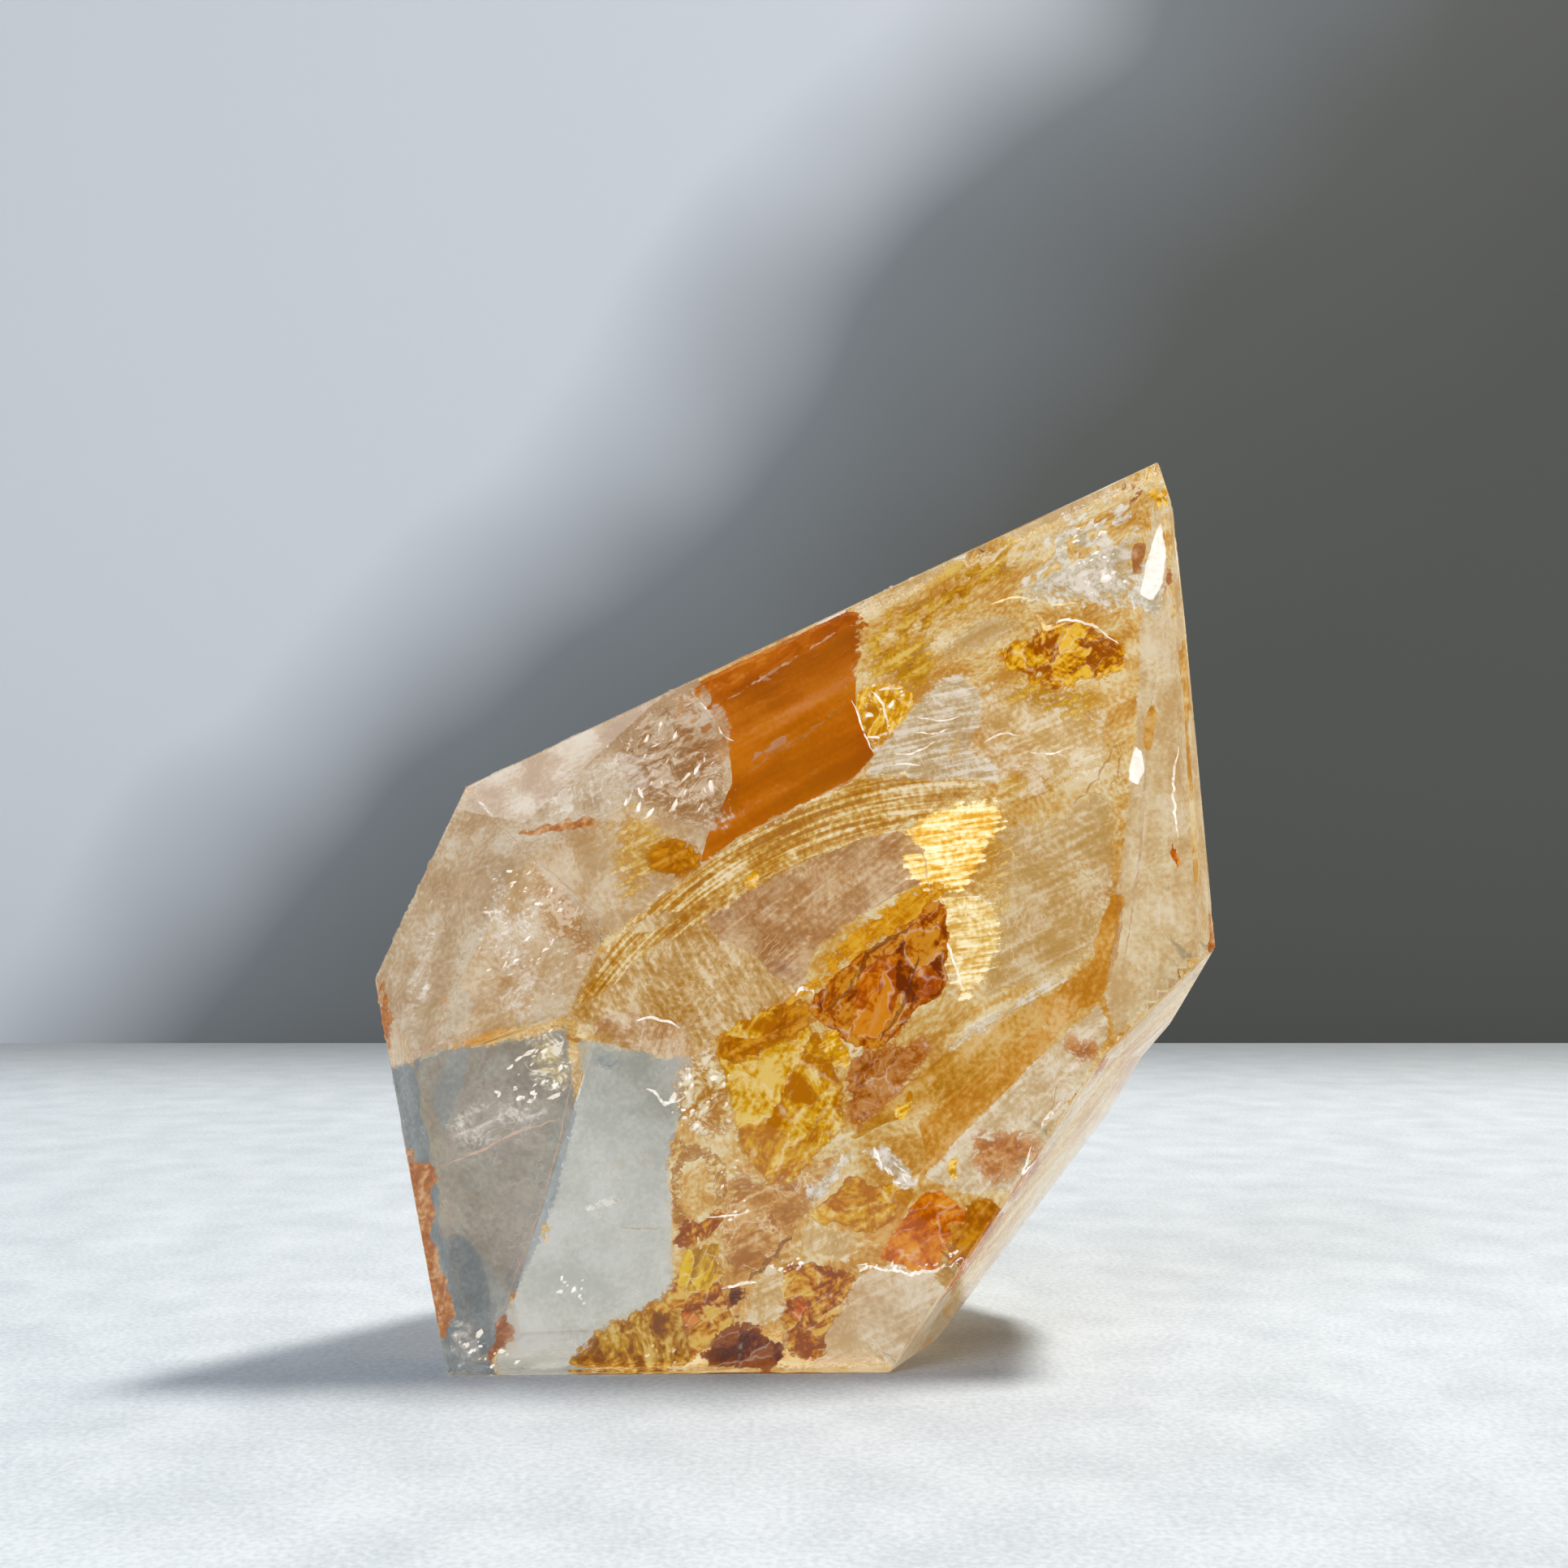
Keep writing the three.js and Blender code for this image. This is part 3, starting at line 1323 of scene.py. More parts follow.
FLAME = Stain(
    "red_flame", ((108, 38, 0), (152, 68, 0), (180, 96, 0), (206, 138, 32)),
    edge=(170, 88, 4), cover=1.25, soft=0.25, solid=1.0, cloud=2.0, swirl=2.5, streak=(5, 0.8),
    streaky=0.4, contrast=1.4, shatter=2.2, painted_sheen=0.06,
)
LOBE = replace(FLAME, name="flame_lobe", tones=((162, 70, 0), (194, 100, 0), (216, 138, 26)), cover=1.1)
UNDER = replace(
    FLAME, name="rust_under", tones=((130, 62, 4), (168, 96, 22), (192, 132, 70)), threads=0.2,
    soft=0.5, cover=1.05, tatter=2.4, painted_sheen=0.06,
)
PINK_HEART = replace(
    CREAM, name="pink_heart", tones=((156, 90, 12), (186, 126, 48), (214, 176, 116)),
    cover=1.15, threads=0.45, thread_size=1.6, shatter=2.0, contrast=1.2,
)
DIAMOND = Stain(
    "orange_diamond", ((170, 74, 0), (208, 112, 0), (228, 152, 36)),
    cover=1.2, soft=0.3, solid=1.0, cloud=2.2, streak=(4, 0.6), streaky=0.4, painted_glow=0.6,
    shatter=2.0, painted_sheen=0.06,
)
BAND = Stain(
    "peach_band", ((184, 116, 20), (202, 144, 54), (220, 176, 106)),
    cover=1.4, soft=0.2, solid=1.0, cloud=5.0, streak=(10, 1.2), streaky=0.4, painted_sheen=0.1,
)
BAND_UPPER = replace(BAND, name="golden_band", tones=((176, 114, 14), (200, 148, 56), (218, 182, 118)))
AMBER = Stain(
    "amber_stain", ((134, 58, 0), (176, 102, 0), (202, 138, 6), (222, 182, 84)),
    edge=(150, 80, 2), cover=1.0, soft=0.35, solid=1.0, cloud=1.6, swirl=2.5, streaky=0.35,
    threads=0.05, contrast=1.4, shatter=1.5, tatter=2.4, painted_sheen=0.06,
)
AMBER_WEB = replace(
    AMBER, name="amber_web", tones=((164, 106, 18), (202, 164, 86), (228, 210, 160)), cover=0.9,
    solid=0.85, threads=0.4,
)
BROWN = replace(
    AMBER, name="brown_stain", tones=((70, 18, 0), (112, 40, 0), (150, 74, 0)), threads=0.0,
    painted_glow=0.45, painted_sheen=0.04,
)
EMBER = replace(AMBER, name="ember_spot", tones=((176, 74, 0), (204, 98, 8), (222, 140, 50)), cover=0.9)

# Painted highlights and glints: the white, gold, pink and peach finishes light up cracks, flakes and
# facet edges with emitted colour; amber and brown are stain lines.
WHITE_GLEAM = Gleam("white_gleam", ((226, 214, 196), (252, 250, 246)), painted_glow=0.95)
PINK_GLEAM = Gleam("pink_gleam", ((192, 150, 118), (218, 188, 164)), solid=0.75)
PEACH_GLEAM = Gleam("peach_gleam", ((206, 160, 108), (232, 200, 156)), solid=0.6)
GOLD_GLEAM = Gleam("gold_gleam", ((228, 184, 100), (254, 240, 196)), painted_glow=0.9)
AMBER_GLEAM = Gleam("amber_gleam", ((168, 104, 30), (196, 140, 74)), solid=0.6)
BROWN_LINE = Gleam("brown_line", ((108, 46, 4), (150, 76, 10)), painted_glow=0.4, solid=0.7)


# ---- what lies inside, region by region -------------------------------------------------


@dataclass
class Region:
    """A neighbourhood inside the stone and the sheets, cracks and glints that crowd it."""

    def pieces(self) -> Pieces:
        """What lies in the region, deepest first."""
        return []

    def build(self, window: Window) -> list[bpy.types.Object]:
        """Make all that the region holds, as it is seen through the window.

        The stone's skin keeps the lamps' rays off all of it, so it is left out of shadow rays.
        It is left out of diffuse rays too, to save render time, and the sheets then cast no
        diffuse light on one another.

        Args:
            window: what they are seen through.

        Returns:
            The finished mesh objects.
        """
        made = [piece.build(window) for piece in self.pieces()]
        for piece in made:
            piece.visible_shadow = False
            piece.visible_diffuse = False
        return made


@dataclass
class StoneHaze(Region):
    """Cloudy stain that fills the depth of the stone, and grey sheets in the clear flank and window
    painted with the shaded floor seen through them.
    """

    heart: Outline = (
        (-20, 30), (-18.5, 35), (-8, 42), (5, 50), (6, 65), (18, 71), (33, 78), (36, 70), (36, 50),
        (35.5, 36), (26, 25), (10, 1), (-19, 0.8), (-16, 5), (-11, 7), (-11.3, 19), (-9, 26), (-18, 28),
    )
    shoulder: Outline = (
        (-36.5, 33), (-33, 42), (-29, 49.5), (-25, 45), (-16.5, 37.5), (-19.5, 30), (-28, 28),
        (-35, 25.3),
    )
    crown: Outline = (
        (-29, 49.8), (-18, 55), (-9, 59.6), (-6, 56), (-5, 47), (-8, 43), (-16, 36.5), (-25, 45),
    )
    right: Outline = (
        (31, 64), (33.5, 79.5), (35.2, 74), (36.6, 55), (37, 45), (36.8, 36), (27.5, 27.5), (26.2, 33),
        (28.3, 42), (30, 53),
    )
    flank: Outline = (
        (-35, 25), (-30, 27), (-20, 28.5), (-19, 22), (-20.5, 15), (-25, 5), (-26, 0.6), (-30, 0.6),
        (-33, 15),
    )
    clear: Outline = (
        (-19, 28), (-9.5, 26.5), (-9, 24), (-11.5, 19), (-10.8, 7), (-14, 5), (-19.5, 0.8),
        (-25.5, 0.8), (-24.8, 5), (-20.5, 16), (-18.3, 25),
    )

    def pieces(self) -> Pieces:
        """What lies in the region, deepest first."""
        flat = {"curved": False, "ragged": 0.2, "cell": 0.9}
        return [
            Sheet("heart_haze", self.heart, HEART_HAZE, 17, fade=2.0, **flat),
            Sheet("shoulder_haze", self.shoulder, SHOULDER, 9, fade=1.0, **flat),
            Sheet("crown_haze", self.crown, SHOULDER, 10, fade=1.0, **flat),
            Sheet("right_haze", self.right, RIGHT_HAZE, 7, fade=0.8, heading=84, **flat),
            # The grey flank and window sheets are painted shade: the floor seen through clear quartz.
            Sheet("painted_flank_shade", self.flank, PAINTED_FLANK_SHADE, 8, fade=1.2, **flat),
            Sheet("clear_painted_floor_view", self.clear, PAINTED_FLOOR_VIEW, 14, fade=0.8, **flat),
        ]


@dataclass
class OrangePane(Region):
    """The deep orange pane under the crown, with its bright shell-shaped rim."""

    pane: Outline = (
        (-9.3, 58.4), (5, 65.4), (6.5, 64.3), (5.5, 60), (5.4, 56.5), (7, 52.3), (4.8, 50), (0, 47.7),
        (-5, 45.3), (-8.3, 42.8), (-7.7, 45), (-5.4, 50), (-5.8, 53.5), (-7.5, 56.3),
    )
    strip: Outline = ((-9.2, 58.3), (5, 65.3), (6, 65), (-3.5, 59.6), (-7.6, 56.4))
    tongue: Outline = (
        (-10.5, 58), (-8.8, 58), (-7.5, 56.2), (-5.7, 53.2), (-7, 51.5), (-9.3, 51), (-10.3, 53.5),
    )
    smudge_high: Outline = ((-3.4, 59.6), (-2.4, 60.5), (-1.4, 60.6), (-2, 59.2), (-2.8, 58.8))
    smudge_low: Outline = (
        (-4, 51.2), (-3.8, 52.6), (-2.4, 53.2), (-2, 54.1), (-0.8, 54.1), (-1, 53.1), (-2.2, 52.9),
        (-3.4, 52.1),
    )
    cracked: Outline = (
        (5.3, 57.6), (6.5, 58.6), (8.2, 58.9), (10.4, 58.3), (10.8, 57), (9, 54.6), (7.1, 52.4),
        (5.9, 55.3),
    )
    rim_line: Outline = (
        (-9.6, 58.3), (-8.8, 57.4), (-7.7, 56.3), (-7, 55.3), (-6.3, 53.9), (-5.2, 53.6),
    )
    pale_line: Outline = ((-7.5, 56.4), (-3.3, 59.3), (0, 61.3), (4, 64), (6.3, 64.8))
    upper_line: Outline = ((-5.6, 61.3), (-1, 62.6), (1, 64))
    low_line: Outline = ((-4.5, 50.7), (-1, 53), (2.4, 55.2), (5, 57.2))
    shell_left: Outline = ((5, 57.4), (5.5, 56.3), (6.1, 54.3), (7, 52.4))
    shell_right: Outline = ((6.6, 58.2), (7.7, 57.4), (8.1, 56.2), (8.3, 54.4))
    shell_top: Outline = ((7.3, 58.1), (8.4, 58.5), (9.6, 58.3))
    shell_foot: Outline = ((6.2, 53.8), (7.2, 54), (8.4, 54.3))

    def pieces(self) -> Pieces:
        """What lies in the region, deepest first."""
        crisp = {"curved": False, "ragged": 0.1, "heading": 29}
        return [
            Sheet("orange_pane", self.pane, PANE, 8.5, fade=0.35, **crisp),
            Sheet("orange_strip", self.strip, PANE_STRIP, 8, fade=0.5, **crisp),
            Sheet("pane_tongue", self.tongue, TONGUE, 7.5, fade=1.0, ragged=0.25),
            Sheet("pane_smudge_high", self.smudge_high, SMUDGE, 7, fade=0.4, cell=0.3),
            Sheet("pane_smudge_low", self.smudge_low, SMUDGE, 7, fade=0.4, cell=0.3),
            Sheet("gold_cracked", self.cracked, BRIGHT, 7, fade=0.3, heading=75, ragged=0.2),
            Crack("pane_rim", self.rim_line, WHITE_GLEAM, 6.5, width=0.24),
            Crack("pane_line", self.pale_line, PINK_GLEAM, 7.5, width=0.3, wander=0.2),
            Crack("pane_line_upper", self.upper_line, AMBER_GLEAM, 7.5, width=0.25),
            Crack("pane_line_low", self.low_line, AMBER_GLEAM, 7.5, width=0.5, wander=0.3),
            Crack("shell_left", self.shell_left, WHITE_GLEAM, 6, width=0.22),
            Crack("shell_right", self.shell_right, WHITE_GLEAM, 6, width=0.26, wander=0.25),
            Crack("shell_top", self.shell_top, WHITE_GLEAM, 6, width=0.35),
            Crack("shell_foot", self.shell_foot, WHITE_GLEAM, 6, width=0.3, wander=0.25),
            Glints("pane_sparks", self.cracked, WHITE_GLEAM, 5.8, count=8, size=(0.1, 0.3), seed=3),
        ]


@dataclass
class CrownVeils(Region):
    """Mist on the left of the crown, and gold streaks and cracks toward the tip."""

    mist: Outline = (
        (-16.5, 55), (-10, 59), (-8, 57), (-6, 53.5), (-5.8, 50), (-5, 46.8), (-8, 45), (-12, 46.5),
        (-16, 49),
    )
    milk: Outline = ((-24, 46), (-22, 51), (-16, 55), (-11, 53), (-12, 48), (-18, 46))
    arc: Outline = ((-25, 45.2), (-22.5, 46.3), (-18, 47), (-17.5, 46.3), (-22, 45.6))
    stained: Outline = (
        (-17.5, 48), (-14, 49), (-11, 46), (-8.7, 44.3), (-8.8, 42.2), (-12.5, 40.2), (-15.5, 37.3),
        (-16.5, 41),
    )
    mustard: Outline = ((-13, 44), (-11, 45), (-8.6, 44), (-8.5, 42.6), (-10, 41.6), (-12.5, 42.3))
    cream_edge: Outline = ((4.5, 65.7), (10, 68.7), (14.5, 71), (15.5, 70.2), (10, 67), (7, 65.3))
    streaks: Outline = (
        (6.5, 65.2), (12, 67.6), (15.5, 70.5), (20, 73), (21, 70.5), (19.5, 67.3), (15.5, 65), (12, 63),
        (9, 60.5), (6.2, 60.8),
    )
    ochre: Outline = ((5.5, 60), (9, 62.5), (13.5, 64.2), (12.5, 60.5), (12.6, 58), (9, 58.6))
    pale: Outline = ((12.8, 59.6), (13.3, 63), (15.8, 65), (19, 65.5), (22, 65), (19.5, 62.8))
    bright_mist: Outline = (
        (19.5, 66), (20.5, 71.5), (25, 75), (29.5, 77), (31.8, 75.5), (32, 70), (31, 65), (25, 65.6),
    )
    flake: Outline = (
        (17.3, 61.5), (20, 62.7), (22.2, 63.7), (24.7, 64.7), (27, 64), (29.6, 62.2), (29.3, 60.8),
        (27.5, 59.7), (25, 58.8), (22.5, 58.5), (19.5, 60),
    )
    flake_foot: Outline = ((16.5, 57.5), (19.5, 59.5), (24, 59), (27.5, 58.5), (25, 55.5), (20.5, 56.3))
    flake_rim: Outline = ((22.3, 64), (24.7, 64.8), (27, 64.1), (29.2, 62.5))
    flake_line: Outline = ((24.6, 64.6), (23.9, 62.8), (22.9, 60.6))
    hook: Outline = ((17.4, 66), (19, 66.6), (20.4, 66.9), (21.6, 66.6))
    notch: Outline = ((21.9, 65.4), (22.4, 64.3), (23.2, 63.7), (24.4, 64.6))
    bar: Outline = ((22.6, 66.3), (24, 66.1), (25.7, 66.3))
    sparks: Outline = ((24, 73), (27, 75), (29.5, 72), (30, 68), (27, 67), (25, 70))
    wisps: Outline = ((-17, 54), (-11, 57), (-7, 53), (-7, 47), (-11, 46), (-16, 49))

    def pieces(self) -> Pieces:
        """What lies in the region, deepest first."""
        return [
            Sheet("crown_mist", self.mist, PINK_MIST, 7, fade=2.5),
            Sheet("crown_milk", self.milk, MILK, 5, fade=4.0),
            Sheet("crown_arc", self.arc, RUST, 6, fade=0.5, cell=0.35),
            Sheet("crown_stain", self.stained, GOLD, 7, fade=3.0),
            Sheet("mustard_stain", self.mustard, GOLD_DEEP, 6, fade=1.6),
            Sheet("crown_streaks", self.streaks, GOLD_STREAKS, 8, fade=2.2, heading=30),
            Sheet("crown_ochre", self.ochre, GOLD_STREAKS, 7, fade=2.2, heading=30),
            Sheet("crown_pale", self.pale, GREY_FIELD, 8, fade=2.2, heading=25),
            Sheet("crown_bright_mist", self.bright_mist, TIP, 7, fade=3.0),
            Sheet("crown_edge_mist", self.cream_edge, CREAM, 5, fade=1.4, cell=0.4),
            Sheet("flake_foot", self.flake_foot, GOLD_STREAKS, 7.5, fade=3.0),
            Sheet("golden_flake", self.flake, FLAKE, 6.5, fade=1.5, heading=40, ragged=1.2),
            Crack("flake_rim", self.flake_rim, WHITE_GLEAM, 6.2, width=0.3, wander=0.25),
            Crack("flake_line", self.flake_line, PINK_GLEAM, 6, width=0.16),
            Crack("crown_hook", self.hook, GOLD_GLEAM, 5, width=0.25),
            Crack("crown_notch", self.notch, GOLD_GLEAM, 5, width=0.5, wander=0.3),
            Crack("crown_bar", self.bar, GOLD_GLEAM, 5, width=0.22),
            Glints("crown_sparks", self.sparks, WHITE_GLEAM, 5, count=40, size=(0.08, 0.35), seed=4),
            Glints(
                "crown_wisps", self.wisps, WHITE_GLEAM, 5, count=34, size=(0.07, 0.24),
                heading=65, stretch=4.0, seed=5,
            ),
        ]


@dataclass
class Tip(Region):
    """The pale point at the upper right, with a painted reflection in its bright triangle, and the
    glassy strip below it.
    """

    triangle: Outline = (
        (33.6, 74.3), (33.75, 70.5), (33.3, 66), (32, 64.8), (30.2, 66.4), (31.5, 69.6), (32.5, 72),
    )
    glare: Outline = (
        (33.65, 74.4), (33.8, 71), (33.3, 68.2), (32.3, 66.6), (31.3, 67.2), (31.9, 69.8), (32.8, 72.4),
    )
    brown_left: Outline = ((30.8, 71.9), (32.2, 71.9), (31.5, 69), (30.6, 68.9))
    brown_right: Outline = ((33.8, 69.8), (34.9, 69.6), (34.2, 68.2), (33.5, 67.2))
    wedge: Outline = ((31.1, 77.6), (32.2, 77.2), (31.4, 76), (30.4, 75.2))
    sun_spot: Outline = ((32.6, 77.3), (34.3, 77.5), (34.2, 75.7), (33.3, 75.6))
    sliver: Outline = ((31.9, 57.4), (32.3, 56), (31.4, 52.6), (31, 53), (31.3, 56))
    ember: Outline = ((33.1, 45.4), (33.9, 43.4), (33.7, 42.1), (33.1, 43))
    painted_highlight: Outline = ((30.1, 53.4), (30.6, 52.8), (31, 51), (30.2, 49.9), (29.6, 50.2))
    long_crack: Outline = ((34.2, 53.4), (33.6, 50.5), (33.5, 48), (33.8, 44.8))
    # fold and fold_low trace facet edges on the right side, drawn as painted highlight lines.
    fold: Outline = ((32.4, 60.5), (31.6, 56), (30.9, 50), (30.3, 44), (29.3, 38), (28.3, 33))
    fold_low: Outline = ((28.4, 41), (28, 37), (27.2, 33), (26.4, 31.5))
    veins: Outline = ((28.6, 54.5), (27.4, 51.6), (26, 49.6), (24.2, 47.5))
    vein_two: Outline = ((28.9, 54), (28.6, 51), (27.5, 49))
    corner: Outline = ((36.2, 39), (36.9, 38), (36.9, 35), (36, 34.4), (36.2, 36.5))

    def pieces(self) -> Pieces:
        """What lies in the region, deepest first."""
        small = {"fade": 0.35, "cell": 0.3, "ragged": 0.2}
        return [
            # tip_glass and tip_glare fill the bright triangle at the tip: pale glass under a painted
            # reflection.
            Sheet("tip_glass", self.triangle, TIP, 4, fade=0.4, curved=False, cell=0.4),
            Sheet("tip_glare", self.glare, PAINTED_GLARE, 3.5, curved=False, fade=0.3, cell=0.3, ragged=0.05),
            Sheet("tip_brown_left", self.brown_left, TIP_BROWN, 4, curved=False, **small),
            Sheet("tip_brown_right", self.brown_right, TIP_BROWN, 3, curved=False, **small),
            Sheet("tip_wedge", self.wedge, TIP_BROWN, 3, curved=False, **small),
            Sheet("tip_sun_spot", self.sun_spot, BRIGHT, 2.5, fade=0.8, cell=0.3),
            Sheet("right_sliver", self.sliver, BAND, 3, **small),
            Sheet("right_ember", self.ember, DIAMOND, 2, **small),
            # The white patch here is a painted reflection on the narrow facet at the right edge.
            Sheet("right_shine", self.painted_highlight, PAINTED_GLARE, 3, curved=False, **small),
            Sheet("right_corner", self.corner, RUST, 0.8, **small),
            Crack("right_long_crack", self.long_crack, WHITE_GLEAM, 2, width=0.3, wander=0.25),
            # Painted highlights along those facet edges, amber lower down.
            Crack("right_facet_line", self.fold, PINK_GLEAM, 4, width=0.3),
            Crack("right_facet_line_low", self.fold_low, AMBER_GLEAM, 5, width=0.8, wander=0.2),
            Crack("right_vein", self.veins, AMBER_GLEAM, 6, width=0.28, wander=0.35),
            Crack("right_vein_two", self.vein_two, AMBER_GLEAM, 6, width=0.2, wander=0.35),
        ]


@dataclass
class LeafCrack(Region):
    """The big leaf-shaped crack, with golden flow along its upper rim."""

    arc_centre: Point2 = (15.5, 8)
    grey_ripples: Outline = (
        (6, 51.3), (8, 53.8), (10.5, 57), (14, 59.8), (17, 58.5), (16.3, 54.5), (15, 51.8), (18.3, 52),
        (17, 50), (12, 47.6), (7, 48.5),
    )
    cream: Outline = (
        (14.8, 59.5), (19, 59), (25, 57.5), (28, 56), (28.4, 53), (25, 50), (19, 48.5), (15, 50.8),
    )
    yellow_one: Outline = ((12.6, 51.5), (14.5, 55.5), (15.2, 53), (14.5, 50.3), (13, 50.2))
    yellow_two: Outline = ((17, 48.5), (18.5, 52), (21, 52), (20.5, 49), (19, 48))
    yellow_three: Outline = ((21.2, 46.3), (22, 50), (23.2, 49), (22.8, 45.2), (22, 44.8))
    yellow_four: Outline = ((23.5, 58.2), (27, 60), (28.3, 56), (26.5, 53), (25, 54.5))
    grey: Outline = (
        (17.5, 47), (22, 46), (26, 50), (28.7, 48), (28, 42), (27, 36.5), (25, 33.8), (20, 32),
        (16, 30.5), (15, 33), (17.6, 37), (16.5, 43),
    )
    rim: Outline = (
        (-20, 30), (-17.5, 33), (-15.8, 36.5), (-13.5, 38.8), (-9, 42), (-5, 45), (0, 47.6), (5, 50.2),
        (8, 51), (12, 50), (16, 50.6), (17, 49.5), (12.5, 47.2), (10, 46), (5, 44.8), (0, 42.3),
        (-4, 40.5), (-8, 38), (-12, 35.8), (-15, 33.5), (-17, 31),
    )
    blade: Outline = (
        (-20, 29.8), (-18.5, 33), (-16, 36.2), (-12, 38.6), (-8.3, 39), (-3, 41), (1, 36), (0.5, 32),
        (-3, 30), (-7, 28), (-9.5, 26.3), (-13, 26.4), (-17.3, 27.6),
    )
    blade_foot: Outline = (
        (-19.4, 29.5), (-16, 31.3), (-13, 30), (-9, 29.5), (-8.8, 26), (-13, 26), (-17.3, 27.3),
    )
    mauve: Outline = (
        (-9, 38.5), (-5.5, 40.2), (-0.5, 42.6), (5, 44.7), (9.7, 45.8), (11.2, 43), (11.6, 41.2),
        (8, 40), (4, 37.5), (1, 34.8), (0.3, 31.8), (-1.8, 32.6), (-4, 35.2), (-7, 36.5),
    )
    plum: Outline = ((-9, 38.4), (-6, 39.4), (-4.6, 38.4), (-7, 36.6))
    plum_low: Outline = ((-3.8, 34.8), (-1, 35.2), (0.4, 33), (-0.4, 31.9), (-2, 32.8))
    gleam_high: Outline = (
        (8.6, 45.6), (12.6, 48), (17.5, 48.8), (18.6, 46.4), (16.4, 44), (16, 41.5), (13.8, 39.6),
        (10, 40.6), (9, 42.8),
    )
    gleam_low: Outline = (
        (11, 38.6), (13.4, 40.6), (16, 40), (18, 38), (17.5, 35), (15.6, 32), (14.3, 30.6), (12.6, 33),
        (11.4, 36),
    )
    halo: Outline = ((14, 48), (17.5, 48), (20, 44), (19, 38), (17.5, 33.5), (15.5, 32), (16, 40))
    gleam_edge: Outline = ((9.8, 46), (11, 43.6), (11.4, 41.2), (11.5, 39.6))
    gleam_edge_low: Outline = ((12, 37.8), (13, 35.6), (13.9, 33), (14.4, 31.2))
    fleck: Outline = ((-4.6, 41.6), (-3.7, 42.3), (-3.2, 41.6), (-3.9, 40.4), (-4.3, 40.7))
    comb: Outline = ((-12.6, 28.6), (-9.6, 28.8), (-9.5, 25.6), (-12.5, 26))
    reflection: Outline = ((-14, 29.2), (-12.5, 29.6), (-11, 29), (-10, 28.6))
    ripple_ends: tuple[tuple[Point2, Point2, float], ...] = (
        ((10.8, 55.8), (15, 55.8), -0.5), ((10.3, 54.4), (14.5, 54.9), -0.5),
        ((8.6, 52.4), (12.6, 53.6), -0.6), ((8.4, 51.2), (11.2, 51.3), 0.4),
        ((16.6, 53.4), (20, 54), 0.7), ((20.6, 52.6), (24.2, 53.1), -0.4),
    )
    whorls: int = 8
    whorl_foot: Point2 = (2.6, 39.5)
    whorl_gap: Point2 = (0.52, 0.12)
    scratches: int = 12
    scratch_foot: Point2 = (-5.6, 34.6)
    scratch_gap: Point2 = (0.55, -0.1)
    upper_rim: Outline = (
        (-16, 36.3), (-13.5, 38.8), (-9, 42), (-5, 45.1), (0, 47.7), (5, 50.2), (7, 52.3), (10.5, 57),
        (14, 59.8),
    )

    def _ripples(self) -> list[Crack]:
        """Short bowed lines of light across the grey field."""
        lines = []
        for number, (start, end, sag) in enumerate(self.ripple_ends):
            middle = ((start[0] + end[0]) / 2, (start[1] + end[1]) / 2 + sag)
            path = (start, middle, end)
            lines.append(Crack(f"grey_ripple_{number}", path, WHITE_GLEAM, 7, width=0.2))
        return lines

    def _whorls(self) -> list[Crack]:
        """Bowed upright bars across the mauve part, like the lines of a fingertip."""
        lines = []
        for number in range(self.whorls):
            x = self.whorl_foot[0] + number * self.whorl_gap[0]
            z = self.whorl_foot[1] + number * self.whorl_gap[1]
            path = ((x + 0.5, z), (x, z + 1.2), (x + 0.1, z + 2.5))
            lines.append(Crack(f"whorl_{number}", path, PEACH_GLEAM, 4.5, width=0.22, wander=0.2))
        return lines

    def _scratches(self) -> list[Crack]:
        """Fine slanting hairs across the lower part of the leaf."""
        lines = []
        for number in range(self.scratches):
            x = self.scratch_foot[0] + number * self.scratch_gap[0]
            z = self.scratch_foot[1] + number * self.scratch_gap[1]
            path = ((x, z), (x + 1.2, z + 1.1), (x + 2.5, z + 2.6))
            lines.append(Crack(f"scratch_{number}", path, PEACH_GLEAM, 4.4, width=0.1, wander=0.25))
        return lines

